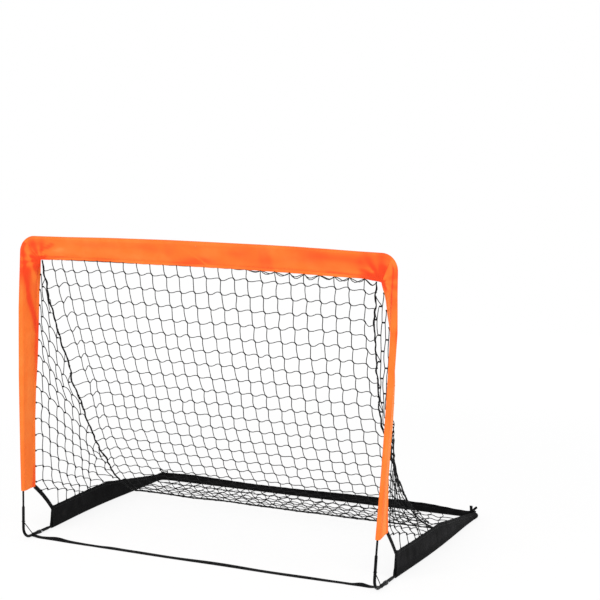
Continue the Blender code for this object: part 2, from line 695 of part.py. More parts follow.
def side_surface(side):
    def place(u, v):
        share = (1 + (SEAM_STEPS - 1) * v) / SEAM_STEPS
        front, seam = side_edge(side, 0.02 + 0.98 * v), seam_point(side, share)
        along = seam_curve(side, min(share + 0.01, 1)) - seam_curve(side, share - 0.01)
        away = front - seam
        away = (away - along * (away.dot(along) / along.length_squared)).normalized()
        return front.lerp(seam + away * (SEAM_CORD_RADIUS + NET_THICKNESS / 2), u)

    return place


def floor_surface(side):
    def place(u, v):
        start = NET_FLOOR_SETBACK + 2 * SEAT_GAP
        end = DEPTH - SLEEVE_RADIUS - 2 * SEAT_GAP
        setback = start + (end - start) * v
        rail = abs(rail_point(side, start).x) - 0.0085
        corner = REAR_WIDTH / 2 - REAR_BEND
        edge = rail + (corner - rail) * v
        return at(side * (CENTRE_GAP + (edge - CENTRE_GAP) * u), setback, NET_LIFT)

    return place


def net_mesh(place, gaps, mirrored):
    """A knotless net as one solid: six-sided gaps, whose cords share short sloping joints."""
    columns, rows = gaps
    step = 1e-4
    data = bmesh.new()
    corners = {}

    def normal(u, v):
        one = place(min(u + step, 1), v) - place(max(u - step, 0), v)
        two = place(u, min(v + step, 1)) - place(u, max(v - step, 0))
        return one.cross(two).normalized() * (NET_THICKNESS / 2)

    tall = (place(0.5, 1) - place(0.5, 0)).length / rows
    wide = (place(1, 0.5) - place(0, 0.5)).length / columns
    skew_u = JOINT_LENGTH / wide / columns / 3
    skew_v = JOINT_LENGTH / tall / rows / 3

    def corner(i, j, end):
        """The upper (0) or lower (1) end of the joint at a crossing, as (u, v)."""
        shift = end - 0.5 if 0 < i < columns and 0 < j < rows else 0
        u = i / columns + shift * skew_u
        v = j / rows + shift * skew_v
        return round(u, 9), round(v, 9)

    def pair(key):
        if key not in corners:
            point, half = place(*key), normal(*key)
            corners[key] = (data.verts.new(point + half), data.verts.new(point - half))
        return corners[key]

    borders = {}
    for i in range(columns):
        for j in range(rows):
            keys = [corner(i, j, 1), corner(i + 1, j, 0), corner(i + 1, j, 1)]
            keys += [corner(i + 1, j + 1, 0), corner(i, j + 1, 1), corner(i, j + 1, 0)]
            keys = [k for n, k in enumerate(keys) if k != keys[n - 1]]
            if mirrored:
                keys.reverse()
            add_gap(data, keys, pair, place, borders)
    for one, two in borders.values():
        data.faces.new((one[0], two[0], two[1], one[1]))
    return data


def edge_inset(one, two):
    """Half a cord's width, or the whole hem's width along the net's own edge."""
    on_edge = any(one[k] == two[k] and one[k] in (0.0, 1.0) for k in (0, 1))
    return NET_BORDER if on_edge else NET_CORD / 2


def add_gap(data, keys, pair, place, borders):
    """One gap: the half-cords round it on both faces, and the walls of the hole."""
    points = [place(*key) for key in keys]
    count = len(keys)
    inner = []
    for n in range(count):
        before, here, after = points[n - 1], points[n], points[(n + 1) % count]
        one, two = (before - here).normalized(), (after - here).normalized()
        inset_before = edge_inset(keys[n - 1], keys[n])
        inset_after = edge_inset(keys[n], keys[(n + 1) % count])
        spread = one.cross(two).length
        if spread > 0.35:
            shift = (one * inset_after + two * inset_before) / spread
        else:
            middle = sum(points, Vector()) / count
            along = (two - one).normalized()
            inward = middle - here
            inward = (inward - along * inward.dot(along)).normalized()
            shift = inward * max(inset_before, inset_after)
        inner.append(here + shift)
    upper, lower = [], []
    for key, point in zip(keys, inner):
        high, low = pair(key)
        half = (high.co - low.co) / 2
        upper.append(data.verts.new(point + half))
        lower.append(data.verts.new(point - half))
    for n in range(count):
        outer_one, outer_two = pair(keys[n - 1]), pair(keys[n])
        data.faces.new((outer_one[0], outer_two[0], upper[n], upper[n - 1]))
        data.faces.new((outer_one[1], lower[n - 1], lower[n], outer_two[1]))
        data.faces.new((upper[n - 1], upper[n], lower[n], lower[n - 1]))
        edge = frozenset((keys[n - 1], keys[n]))
        if edge in borders:
            del borders[edge]
        else:
            borders[edge] = (outer_one, outer_two)


def nets(name, side, parts, m):
    mirrored = side == LEFT
    frame, base = parts["frame"], parts["base"]
    add(f"back_net_{name}", net_mesh(back_surface(side), BACK_GAPS, mirrored), m["net"], frame)
    add(f"side_net_{name}", net_mesh(side_surface(side), SIDE_GAPS, mirrored), m["net"], frame)
    add(f"floor_net_{name}", net_mesh(floor_surface(side), FLOOR_GAPS, mirrored), m["net"], base)


def seam_cord(name, side, parent, m):
    path = [seam_point(side, k / SEAM_STEPS) for k in range(SEAM_STEPS + 1)]
    add(f"net_seam_cord_{name}", rod_mesh(path, X_AXIS, SEAM_CORD_RADIUS, 6), m["cord"], parent)


def build_half(name, side, parts, m):
    rods(name, side, parts, m)
    elbows(name, side, parts, m)
    crossbar_hinge(name, side, parts, m)
    foot_joint(name, side, parts, m)
    frame_sleeves(name, side, parts["frame"], m)
    base_sleeves(name, side, parts["base"], m)
    skirt_binding(name, side, parts["base"], m)
    corner_brace(name, side, parts["frame"], m)
    ground_strap(name, side, parts["frame"], m)
    elbow_elastic(name, side, parts["frame"], m)
    corner_tie(name, side, parts["base"], m)
    nets(name, side, parts, m)
    seam_cord(name, side, parts["frame"], m)


def main():
    for made in list(bpy.data.objects):
        bpy.data.objects.remove(made, do_unlink=True)
    m = make_materials()
    frame_left = empty("frame_left", Vector())
    frame_right = empty("frame_right", HINGE_POINT, frame_left)
    base_left = empty("base_left", pivot(LEFT), frame_left)
    base_right = empty("base_right", pivot(RIGHT), frame_right)
    build_half("left", LEFT, {"frame": frame_left, "base": base_left}, m)
    build_half("right", RIGHT, {"frame": frame_right, "base": base_right}, m)
    crossbar_hinge_pin(frame_left, m)
    rear_ferrule(base_left, m)


main()
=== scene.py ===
# %% [markdown]
# # A folding practice goal
# Two bent frames of rod in orange cloth sleeves stand up from a base of rods in black cloth, and a
# loose net hangs between them. The packed CAD model is the skeleton of this scene: every piece made
# here is laid round it in the same metres, and many of them ride on one of its bodies, so that they
# fold with it.

import math
import random

import bpy
import numpy as np
from mathutils import Matrix, Vector, noise


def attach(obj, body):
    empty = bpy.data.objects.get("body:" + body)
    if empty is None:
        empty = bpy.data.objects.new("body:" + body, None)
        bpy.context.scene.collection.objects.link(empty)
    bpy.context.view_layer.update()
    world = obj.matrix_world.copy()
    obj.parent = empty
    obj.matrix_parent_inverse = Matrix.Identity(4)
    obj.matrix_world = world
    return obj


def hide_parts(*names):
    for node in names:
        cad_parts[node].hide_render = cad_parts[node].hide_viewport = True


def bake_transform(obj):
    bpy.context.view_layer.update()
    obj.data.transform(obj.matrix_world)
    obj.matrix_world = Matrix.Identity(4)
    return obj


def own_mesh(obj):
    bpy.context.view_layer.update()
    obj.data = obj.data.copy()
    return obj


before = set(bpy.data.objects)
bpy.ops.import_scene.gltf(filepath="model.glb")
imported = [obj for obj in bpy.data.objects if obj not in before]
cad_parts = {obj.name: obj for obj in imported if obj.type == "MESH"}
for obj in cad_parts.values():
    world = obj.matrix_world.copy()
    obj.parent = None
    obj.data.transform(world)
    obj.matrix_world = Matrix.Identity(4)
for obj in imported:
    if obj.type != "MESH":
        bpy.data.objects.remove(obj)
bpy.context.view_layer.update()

# %% [markdown]
# ## The camera
# The photograph was taken with a long lens from the goal's right, a little above its crossbar. The
# corners of the goal give the place and the lens. The camera has no roll and no shift, so three
# directions are enough to stand it up. The goal has no loose cord, so nothing else has to be in view.

# %% Stand the camera up
AZIMUTH, PITCH = math.radians(25.4), math.radians(6.98)
CAMERA_PLACE = Vector((1.9666, -3.8090, 1.2429))
FOCAL_LENGTH, SENSOR = 84.74, 36.0


def stand_camera():
    rightwards = Vector((math.cos(AZIMUTH), math.sin(AZIMUTH), 0))
    level_share = math.cos(PITCH)
    backwards = Vector((math.sin(AZIMUTH) * level_share, -math.cos(AZIMUTH) * level_share, math.sin(PITCH)))
    upwards = backwards.cross(rightwards)
    data = bpy.data.cameras.new("camera")
    data.lens, data.sensor_width = FOCAL_LENGTH, SENSOR
    data.clip_start, data.clip_end = 0.05, 60
    camera = bpy.data.objects.new("camera", data)
    turn = Matrix((rightwards, upwards, backwards)).transposed()
    camera.matrix_world = Matrix.Translation(CAMERA_PLACE) @ turn.to_4x4()
    bpy.context.scene.collection.objects.link(camera)
    bpy.context.scene.camera = camera
    return camera


print("camera at", tuple(round(v, 3) for v in stand_camera().location))

# %% [markdown]
# ## The goal's own sizes
# These are the sizes that the CAD part is built from. The cloth and the net follow the same lines,
# so each is worked out here from the same few numbers. Distances go back from the goal line.

# %% Sizes and the lines that everything follows
TOP_WIDTH, FOOT_WIDTH, REAR_WIDTH = 1.207, 1.146, 1.170
HEIGHT, DEPTH, SET_BACK, RAIL_HEIGHT = 0.914, 0.825, 0.070, 0.006
ROD_RADIUS, TUBE_RADIUS, SLEEVE_RADIUS = 0.0039, 0.0048, 0.006
FOOT_BEND, TOP_BEND, TOP_LEG, REAR_BEND, REAR_LEG = 0.031, 0.042, 0.110, 0.036, 0.090
POST_WEB, CROSSBAR_WEB, WEB_TILT = 0.0620, 0.0725, math.radians(20)
SLEEVE_FOOT, SLEEVE_TURN = 0.150, 0.110
PIVOT_SETBACK, FORK_ROOT = 0.088, 0.0150
SKIRT_START, SKIRT_TAPER, REAR_WEB = 0.141, 0.480, 0.0145
BINDING_WIDTH, STRAP_WIDTH, STRAP_SETBACK = 0.012, 0.018, 0.0455
NET_FLOOR, NET_LIFT = 0.655, 0.0026
LEFT, RIGHT = -1, 1
SIDES = (("left", LEFT), ("right", RIGHT))
X, BACK, UP = Vector((1, 0, 0)), Vector((0, 1, 0)), Vector((0, 0, 1))


def at(x, setback, z):
    """A point given by its distance behind the goal line."""
    return Vector((x, setback - DEPTH / 2, z))


def foot(side):
    return at(side * FOOT_WIDTH / 2, 0, RAIL_HEIGHT)


def top(side):
    return at(side * TOP_WIDTH / 2, SET_BACK, HEIGHT)


def rear(side):
    return at(side * REAR_WIDTH / 2, DEPTH, RAIL_HEIGHT)


def move_to(point, target, distance):
    return point + (target - point).normalized() * distance


def post_point(side, distance):
    return move_to(foot(side), top(side), distance)


def rail_point(side, setback):
    along = (rear(side) - foot(side)).normalized()
    return foot(side) + along * (setback / along.y)


POST_LENGTH = (top(RIGHT) - foot(RIGHT)).length


def smooth(value):
    value = min(max(value, 0.0), 1.0)
    return value * value * (3 - 2 * value)


def bend(start, corner, end, radius, steps):
    """A path with one round bend: its start, the arc's points and its end."""
    one, two = (start - corner).normalized(), (end - corner).normalized()
    half = one.angle(two) / 2
    centre = corner + (one + two).normalized() * (radius / math.sin(half))
    spoke = corner + one * (radius / math.tan(half)) - centre
    axis, turn = one.cross(two), -(math.pi - 2 * half)
    arc = [centre + Matrix.Rotation(turn * k / steps, 3, axis) @ spoke for k in range(steps + 1)]
    return [start, *arc, end]


def fill_in(path, step):
    """The same path with a point at least every step."""
    made = [path[0]]
    for one, two in zip(path, path[1:]):
        count = max(1, math.ceil((two - one).length / step))
        made += [one.lerp(two, k / count) for k in range(1, count + 1)]
    return made


def tangents(path):
    return [(path[min(k + 1, len(path) - 1)] - path[max(k - 1, 0)]).normalized() for k in range(len(path))]


def travelled(path):
    """The distance along the path to each of its points."""
    total, found = 0.0, [0.0]
    for one, two in zip(path, path[1:]):
        total += (two - one).length
        found.append(total)
    return found


print("post length:", round(POST_LENGTH, 4))

# %% [markdown]
# ## Writing node trees as sums
# A finish is a tree of nodes. Written by hand, each sum is a node and two links, which is hard to
# read. One small class wraps a socket, so a sum of sockets adds its Math nodes by itself, and one
# method makes any other node. The same class serves the Geometry Nodes trees.


# %% A socket that does sums
class Sock:
    def __init__(self, tree, socket):
        self.tree, self.socket = tree, socket

    def sum_of(self, operation, *values):
        return self.tree.node("ShaderNodeMath", {"operation": operation}, dict(enumerate(values)))

    def out(self, name):
        return Sock(self.tree, self.socket.node.outputs[name])

    def __add__(self, other):
        return self.sum_of("ADD", self, other)

    def __sub__(self, other):
        return self.sum_of("SUBTRACT", self, other)

    def __rsub__(self, other):
        return self.sum_of("SUBTRACT", other, self)

    def __mul__(self, other):
        return self.sum_of("MULTIPLY", self, other)

    def __truediv__(self, other):
        return self.sum_of("DIVIDE", self, other)

    def __pow__(self, power):
        return self.sum_of("POWER", self, power)

    __radd__, __rmul__ = __add__, __mul__

    def sine(self):
        return self.sum_of("SINE", self)

    def size(self):
        return self.sum_of("ABSOLUTE", self)

    def between(self, low, high):
        """0 below low, 1 above high and smooth in between."""
        settings = {"interpolation_type": "SMOOTHSTEP"}
        values = {"Value": self, "From Min": low, "From Max": high}
        return self.tree.node("ShaderNodeMapRange", settings, values)


class Tree:
    def __init__(self, tree):
        self.tree = tree

    def node(self, kind, settings=None, values=None, output=0):
        made = self.tree.nodes.new(kind)
        for key, value in (settings or {}).items():
            if key == "stops":
                for number, (place, colour) in enumerate(value):
                    stops = made.color_ramp.elements
                    stop = stops[number] if number < len(stops) else stops.new(place)
                    stop.position, stop.color = place, (*colour, 1)
            else:
                setattr(made, key, value)
        for key, value in (values or {}).items():
            self.feed(made.inputs[key], value)
        return Sock(self, made.outputs[output])

    def feed(self, socket, value):
        if isinstance(value, Sock):
            self.tree.links.new(value.socket, socket)
        elif value is not None:
            socket.default_value = value

    def vector(self, operation, one, two=None, output=0):
        return self.node("ShaderNodeVectorMath", {"operation": operation}, {0: one, 1: two}, output)


print("a socket can:", [name for name in vars(Sock) if not name.startswith("_")])

# %% [markdown]
# ## Light and floor
# The photograph is lit flat and white. A bright world and three wide lamps give soft light at a plain
# level, so a colour shows nearly as it is written. The lamp at the right is the strongest, because the
# sides that face right are the bright ones. The floor and the world look white to the camera through
# Light Path, and the floor still takes the goal's shadow.

# %% Light, floor and world
WORLD_LIGHT = 0.70
FLOOR_SIZE, FLOOR_DROP, FLOOR_GLOW = 9.0, 0.0004, 1.02
FLOOR_SHADOW, SHADOW_FADE = 0.18, (1.2, 3.5)
LAMP_AIM = (0, 0, 0.4)
# Each lamp has a name, a place, a width and a power.
LAMPS = (
    ("key_lamp", (0.2, -4.6, 3.4), 3.4, 66),
    ("fill_lamp", (-4.6, -4.8, 2.4), 3.0, 70),
    ("side_lamp", (8.0, -2.6, 3.2), 4.0, 196),
)
scene = bpy.context.scene
scene.view_settings.view_transform = "Standard"


def seen_white(tree):
    """1 for what the camera sees, straight, in a reflection or through glass."""
    path = tree.node("ShaderNodeLightPath", output="Is Camera Ray")
    bent = path.sum_of("MAXIMUM", path.out("Is Glossy Ray"), path.out("Is Transmission Ray"))
    return path.sum_of("MAXIMUM", path, bent)


def light_world():
    world = bpy.data.worlds.new("studio")
    scene.world = world
    world.use_nodes = True
    tree = Tree(world.node_tree)
    dim = tree.node("ShaderNodeBackground", values={"Color": (1, 1, 1, 1), "Strength": WORLD_LIGHT})
    white = tree.node("ShaderNodeBackground", values={"Color": (1, 1, 1, 1), "Strength": 1.0})
    both = tree.node("ShaderNodeMixShader", values={0: seen_white(tree), 1: dim, 2: white})
    tree.feed(world.node_tree.nodes["World Output"].inputs["Surface"], both)


def hang_lamp(name, place, size, power):
    data = bpy.data.lights.new(name, "AREA")
    data.shape, data.size, data.energy = "DISK", size, power
    lamp = bpy.data.objects.new(name, data)
    lamp.rotation_euler = (Vector(LAMP_AIM) - Vector(place)).to_track_quat("-Z", "Y").to_euler()
    lamp.location = place
    scene.collection.objects.link(lamp)


def lay_floor():
    half = FLOOR_SIZE / 2
    mesh = bpy.data.meshes.new("floor")
    corners = [(-half, -half), (half, -half), (half, half), (-half, half)]
    mesh.from_pydata([(x, y, -FLOOR_DROP) for x, y in corners], [], [(0, 1, 2, 3)])
    floor = bpy.data.objects.new("floor", mesh)
    scene.collection.objects.link(floor)
    paint = bpy.data.materials.new("white_floor")
    paint.use_nodes = True
    tree = Tree(paint.node_tree)
    paint.node_tree.nodes.remove(paint.node_tree.nodes["Principled BSDF"])
    place = tree.node("ShaderNodeTexCoord", output="Object")
    far = tree.vector("LENGTH", place, output="Value").between(*SHADOW_FADE)
    paper = tree.node("ShaderNodeBsdfDiffuse", values={"Color": (1, 1, 1, 1)})
    glow = tree.node("ShaderNodeEmission", values={"Color": (1, 1, 1, 1), "Strength": FLOOR_GLOW})
    share = seen_white(tree) * (1 - FLOOR_SHADOW * (1 - far))
    both = tree.node("ShaderNodeMixShader", values={0: share, 1: paper, 2: glow})
    tree.feed(paint.node_tree.nodes["Material Output"].inputs["Surface"], both)
    mesh.materials.append(paint)


light_world()
for lamp in LAMPS:
    hang_lamp(*lamp)
lay_floor()

# %% [markdown]
# ## Finishes
# Oxford cloth is a plain weave, and its flat yarns lie in pairs about a millimetre wide. Each piece of
# cloth has a UV map in metres, so the weave runs with the piece and has the right scale. Two crossed
# waves make the yarns, with painted shade in the gaps between them, and a slow noise makes the colour
# uneven. An attribute that the mesh code writes paints light and shade on the folds: a deeper, redder
# colour as painted shade in the creases, and a paler one as painted highlight where the cloth is pulled.


# %% The start of a finish
class Finish(Tree):
    """A material with one Principled shader, whose uneven values are fed as sums."""

    def __init__(self, name, **uniform):
        self.material = bpy.data.materials.new(name)
        self.material.use_nodes = True
        super().__init__(self.material.node_tree)
        self.shader = self.material.node_tree.nodes["Principled BSDF"]
        for key, value in uniform.items():
            self.shader.inputs[key.replace("_", " ")].default_value = value

    def mix(self, share, one, two):
        values = {"Factor": share, 6: as_colour(one), 7: as_colour(two)}
        return self.node("ShaderNodeMix", {"data_type": "RGBA"}, values, output=2)

    def noise(self, place, scale, detail=3.0):
        values = {"Vector": place, "Scale": scale, "Detail": detail, "Roughness": 0.55}
        return self.node("ShaderNodeTexNoise", values=values)

    def attribute(self, name):
        return self.node("ShaderNodeAttribute", {"attribute_name": name}, output="Fac")

    def cloth_place(self):
        """Metres across the piece, metres along it, and both as one vector."""
        place = self.node("ShaderNodeUVMap", {"uv_map": "cloth"})
        parts = self.node("ShaderNodeSeparateXYZ", values={0: place})
        return parts, parts.out("Y"), place

    def body_place(self):
        return self.node("ShaderNodeTexCoord", output="Object")

    def finish(self, colour, roughness, height, depth):
        bump = self.node("ShaderNodeBump", values={"Height": height, "Distance": depth, "Strength": 1.0})
        for title, value in (("Base Color", colour), ("Roughness", roughness), ("Normal", bump)):
            self.feed(self.shader.inputs[title], value)
        return self.material


def as_colour(value):
    return value if isinstance(value, Sock) else (*value, 1)


print("a finish has:", [name for name in vars(Finish) if not name.startswith("_")])

# %% Woven cloth in orange and in black
YARN = 0.0011


def weave(finish):
    """The height of a plain weave: yarns across and along take turns on top."""
    across, along, _ = finish.cloth_place()
    turn = math.pi / YARN
    warp, weft = (across * turn).sine(), (along * turn).sine()
    over = (warp * weft).between(-0.25, 0.25)
    return warp.size() ** 0.6 * over + weft.size() ** 0.6 * (1 - over)


def oxford(name, plain, pale_and_lit, shade_colour, rough, shine):
    finish = Finish(name, Specular_IOR_Level=shine)
    _, _, place = finish.cloth_place()
    drift = finish.noise(place, 14.0)
    yarns = weave(finish)
    slub = finish.noise(finish.vector("MULTIPLY", place, (900.0, 60.0, 1.0)), 1.0, 1.0)
    # The fold value is painted light and shade: above nothing it paints shade, below nothing highlight.
    fold = finish.attribute("fold")
    # Paler where the slow noise is high, the cloth's own uneven tone, and paler as painted highlight where
    # the cloth is pulled.
    drift_and_highlight = drift.between(0.35, 0.75) * 0.35 + (0 - fold).between(0.0, 1.0) * 0.9
    colour = finish.mix(drift_and_highlight, plain, pale_and_lit)
    # Painted shade: deeper and redder in the creases.
    colour = finish.mix(fold.between(0.0, 1.0), colour, shade_colour)
    # Painted shade in the gaps between the yarns, and darker slubs at random.
    gap_shade_and_slub = (1 - yarns) * 0.26 + slub.between(0.45, 0.8) * 0.08
    colour = finish.mix(gap_shade_and_slub, colour, [c * 0.62 for c in shade_colour])
    height = yarns * 0.8 + slub * 0.2
    return finish.finish(colour, rough - 0.10 * yarns + 0.06 * drift, height, 0.00012)


ORANGE = oxford(
    "orange_oxford_cloth",
    plain=(1.0, 0.196, 0.024),
    pale_and_lit=(1.0, 0.300, 0.062),
    shade_colour=(0.93, 0.066, 0.012),
    rough=0.80,
    shine=0.20,
)
BLACK = oxford(
    "black_oxford_cloth",
    plain=(0.0038, 0.0038, 0.0041),
    pale_and_lit=(0.012, 0.012, 0.0125),
    shade_colour=(0.0018, 0.0018, 0.002),
    rough=0.74,
    shine=0.045,
)
print("cloths:", ORANGE.name, BLACK.name)


# %% Webbing, twine, elastic and thread
def webbing():
    """Ribs run across the tape, and a chevron of ridges runs over them."""
    finish = Finish("black_tape", Specular_IOR_Level=0.04)
    across, along, place = finish.cloth_place()
    rib_pitch, chevron_pitch = 0.0014, 0.0021
    rib = (along * (math.pi / rib_pitch)).sine().size()
    chevron = ((along + across.size() * 0.8) * (math.pi / chevron_pitch)).sine().size()
    height = rib * 0.6 + chevron * 0.4
    # Painted light and shade: the raised ribs are painted lighter and the hollows between them darker; the
    # noise adds an uneven tone.
    rib_light_and_mottle = height * 0.6 + finish.noise(place, 60.0) * 0.3
    colour = finish.mix(rib_light_and_mottle, (0.002, 0.002, 0.0022), (0.009, 0.009, 0.0094))
    return finish.finish(colour, 0.76 - 0.12 * height, height, 0.00022)


def twisted(name, groove_shade, crown_light, lay, rough, depth):
    """Plies wound round each other: the bands slant, because both attributes feed one wave."""
    finish = Finish(name, Specular_IOR_Level=0.06)
    along, turn = finish.attribute("along"), finish.attribute("turn")
    ply = ((along / lay + turn) * (2 * math.pi)).sine() * 0.5 + 0.5
    fuzz = finish.noise(finish.body_place(), 420.0, 2.0)
    # Painted light and shade: the crowns of the plies are painted lighter and the grooves between them
    # darker; the fuzz adds an uneven tone.
    colour = finish.mix(ply * 0.7 + fuzz * 0.3, groove_shade, crown_light)
    return finish.finish(colour, rough + 0.1 * fuzz, ply, depth)


TAPE = webbing()
TWINE = twisted(
    "net_twine",
    groove_shade=(0.004, 0.004, 0.0045),
    crown_light=(0.016, 0.016, 0.017),
    lay=0.0046,
    rough=0.66,
    depth=0.0003,
)
ELASTIC = twisted(
    "elastic_cord",
    groove_shade=(0.002, 0.002, 0.0024),
    crown_light=(0.009, 0.009, 0.0094),
    lay=0.0016,
    rough=0.60,
    depth=0.0002,
)


def thread(name, colour):
    finish = Finish(name, Sheen_Weight=0.05)
    fuzz = finish.noise(finish.body_place(), 900.0, 2.0)
    return finish.finish(finish.mix(fuzz, colour, [c * 0.6 for c in colour]), 0.5 + 0.2 * fuzz, fuzz, 0.00008)


ORANGE_THREAD = thread("orange_thread", (0.90, 0.150, 0.022))
BLACK_THREAD = thread("black_thread", (0.030, 0.030, 0.032))
print("cords and threads:", TAPE.name, TWINE.name, ELASTIC.name, ORANGE_THREAD.name, BLACK_THREAD.name)


# %% Rod, coated tube and steel
def coated_tube():
    """Powder coat: a fine orange-peel, and dull rubs where the tube is handled."""
    finish = Finish("black_coated_tube", Specular_IOR_Level=0.08)
    place = finish.body_place()
    rub = finish.noise(place, 38.0, 6.0).between(0.52, 0.72)
    peel = finish.noise(place, 900.0, 2.0)
    colour = finish.mix(rub * 0.7, (0.0024, 0.0024, 0.0026), (0.009, 0.009, 0.0094))
    return finish.finish(colour, 0.34 + 0.22 * rub, peel, 0.00006)


def fibre_rod():
    """Glass fibre pulled through a die: fine streaks along the rod under a dark resin."""
    finish = Finish("glass_fibre_rod", Specular_IOR_Level=0.08)
    place = finish.body_place()
    streak = finish.noise(finish.vector("MULTIPLY", place, (1500.0, 40.0, 1500.0)), 1.0, 2.0)
    colour = finish.mix(streak, (0.0024, 0.0024, 0.0026), (0.008, 0.008, 0.0084))
    return finish.finish(colour, 0.40 + 0.15 * streak, streak, 0.00005)


def plated_steel():
    finish = Finish("zinc_steel", Metallic=1.0)
    place = finish.body_place()
    brushed = finish.noise(finish.vector("MULTIPLY", place, (90.0, 1800.0, 1800.0)), 1.0, 2.0)
    dull = finish.noise(place, 120.0, 4.0).between(0.4, 0.7)
    colour = finish.mix(dull, (0.56, 0.57, 0.59), (0.40, 0.41, 0.42))
    return finish.finish(colour, 0.28 + 0.2 * dull, brushed, 0.00004)


TUBE, ROD, STEEL = coated_tube(), fibre_rod(), plated_steel()
print("hard finishes:", TUBE.name, ROD.name, STEEL.name)

# %% [markdown]
# ## The rods and joints that stay as CAD
# The straight rods, forks, eyes, pins, hinge and ferrule already have their true shape in the CAD
# model. They only take a finish, through their material slots, and their meshes are left alone.

# %% Give the CAD nodes their finishes
# The first word that is found in a node's name gives its finish.
NODE_FINISHES = (
    ("hinge", STEEL),
    ("pin", STEEL),
    ("ferrule", STEEL),
    ("elbow_elastic", ELASTIC),
    ("elbow", TUBE),
    ("fork", TUBE),
    ("eye", TUBE),
    ("rod", ROD),
)
for node_name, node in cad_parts.items():
    for word, finish in NODE_FINISHES:
        if word in node_name:
            for place in node.material_slots:
                place.material = finish
            break
print("hard nodes with a finish:", sum(any(w in n for w, _ in NODE_FINISHES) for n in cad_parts))

# %% [markdown]
# ## Meshes by rings
# Sleeves, tapes, tubes and cords are all a cross-section carried along a path. So one helper joins
# rings of points into a wall, and writes two things for the finishes: a UV map in metres, and any
# attribute given for each point. A wall that encloses less than nothing is inside out, and is turned.


# %% Join rings into a mesh
def put(name, points, faces, uvs, finish, marks=None, sharp=40):
    mesh = bpy.data.meshes.new(name)
    mesh.from_pydata([tuple(p) for p in points], [], faces)
    layer = mesh.uv_layers.new(name="cloth")
    layer.data.foreach_set("uv", np.array(uvs, np.float32).ravel())
    for mark, values in (marks or {}).items():
        made = mesh.attributes.new(mark, "FLOAT", "POINT")
        made.data.foreach_set("value", np.array(values, np.float32))
    mesh.shade_smooth()
    mesh.set_sharp_from_angle(angle=math.radians(sharp))
    if volume(mesh) < 0:
        mesh.flip_normals()
    mesh.materials.append(finish)
    made = bpy.data.objects.new(name, mesh)
    scene.collection.objects.link(made)
    return made


def volume(mesh):
    """The space that a closed mesh holds, less than nothing where its faces point inwards."""
    mesh.calc_loop_triangles()
    places = np.array([v.co for v in mesh.vertices])
    corners = places[np.array([t.vertices for t in mesh.loop_triangles])]
    return float(np.einsum("ij,ij->i", corners[:, 0], np.cross(corners[:, 1], corners[:, 2])).sum() / 6)


def rings_mesh(name, rings, finish, lining=None, marks=None, sharp=40, across=None, along=None):
    """A closed skin over rings of points. With a lining it is a tube with a wall, open at both ends."""
    count, sides = len(rings), len(rings[0])
    along = along or travelled([sum(ring, Vector()) / sides for ring in rings])
    across = across or [travelled([*ring, ring[0]]) for ring in rings]
    walls = [rings] if lining is None else [rings, lining]
    points = [p for wall in walls for ring in wall for p in ring]
    faces, uvs = [], []

    def face(*corners):
        faces.append([wall * count * sides + i * sides + k % sides for wall, i, k in corners])
        uvs.extend((across[i][k], along[i]) for _, i, k in corners)

    for i in range(count - 1):
        for k in range(sides):
            face((0, i, k), (0, i, k + 1), (0, i + 1, k + 1), (0, i + 1, k))
            if lining is not None:
                face((1, i, k + 1), (1, i, k), (1, i + 1, k), (1, i + 1, k + 1))
    if lining is None:
        face(*[(0, 0, k) for k in reversed(range(sides))])
        face(*[(0, count - 1, k) for k in range(sides)])
    else:
        for k in range(sides):
            face((0, 0, k + 1), (0, 0, k), (1, 0, k), (1, 0, k + 1))
            face((0, count - 1, k), (0, count - 1, k + 1), (1, count - 1, k + 1), (1, count - 1, k))
    return put(name, points, faces, uvs, finish, marks, sharp)


def circle(centre, along, across, radius, sides):
    one = (across - along * across.dot(along)).normalized()
    two = along.cross(one)
    turns = [2 * math.pi * k / sides for k in range(sides)]
    return [centre + (one * math.cos(a) + two * math.sin(a)) * radius for a in turns]


def ride_all(pieces, body):
    for piece in pieces:
        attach(piece, body)


# %% [markdown]
# ## The orange sleeves
# Each sleeve is one strip of cloth, folded round the rod and sewn to itself. The rod lies in the fold
# and the two layers run straight from it to a hem about a centimetre wide, which carries the net, so
# the section is a long thin wedge. At the top corners the post's and the crossbar's sleeves meet in a
# mitre. The cloth is laid out as a ring of points at each station of the rod's path: up one face,
# round the rod and down the other face.

# %% The cross-section of a sleeve
CLOTH = 0.00045
HEM, LEAST_HEM, ROD_ROOM, WEB_STEPS = 0.0105, 0.002, 0.0105, 8


def sleeve_section(width, steps=WEB_STEPS):
    """Points as (towards the hem, through the cloth), on the outside and on the inside."""
    radius = SLEEVE_RADIUS
    hem = max(LEAST_HEM, min(HEM, width - ROD_ROOM))
    edge = [(width, 0.00045), (width - 0.0005, 0.00105), (width - 0.4 * hem, 0.00120)]
    edge += [(width - 0.88 * hem, 0.00112), (width - hem, 0.00070)]
    start, end = width - hem - 0.0014, radius / 3
    flat, full = 0.00100, radius * 0.943
    web = [(start + (end - start) * k / steps, flat + (full - flat) * k / steps) for k in range(steps + 1)]
    turns = [math.radians(80 + 200 * k / 12) for k in range(13)]
    rod = [(radius * math.cos(a), radius * math.sin(a)) for a in turns]
    near = edge + web
    outside = near + rod + [(w, -n) for w, n in reversed(near)]
    lined = [(start + 0.0002 - 0.0001 * k, 0.00004 + 0.00008 * k) for k in range(len(edge))]
    lined += [(w - 0.0004 * (k == 0), n - CLOTH - 0.0001 * k / steps) for k, (w, n) in enumerate(web)]
    shrink = (radius - 0.0006) / radius
    inside = lined + [(w * shrink, n * shrink) for w, n in rod] + [(w, -n) for w, n in reversed(lined)]
    return outside, inside


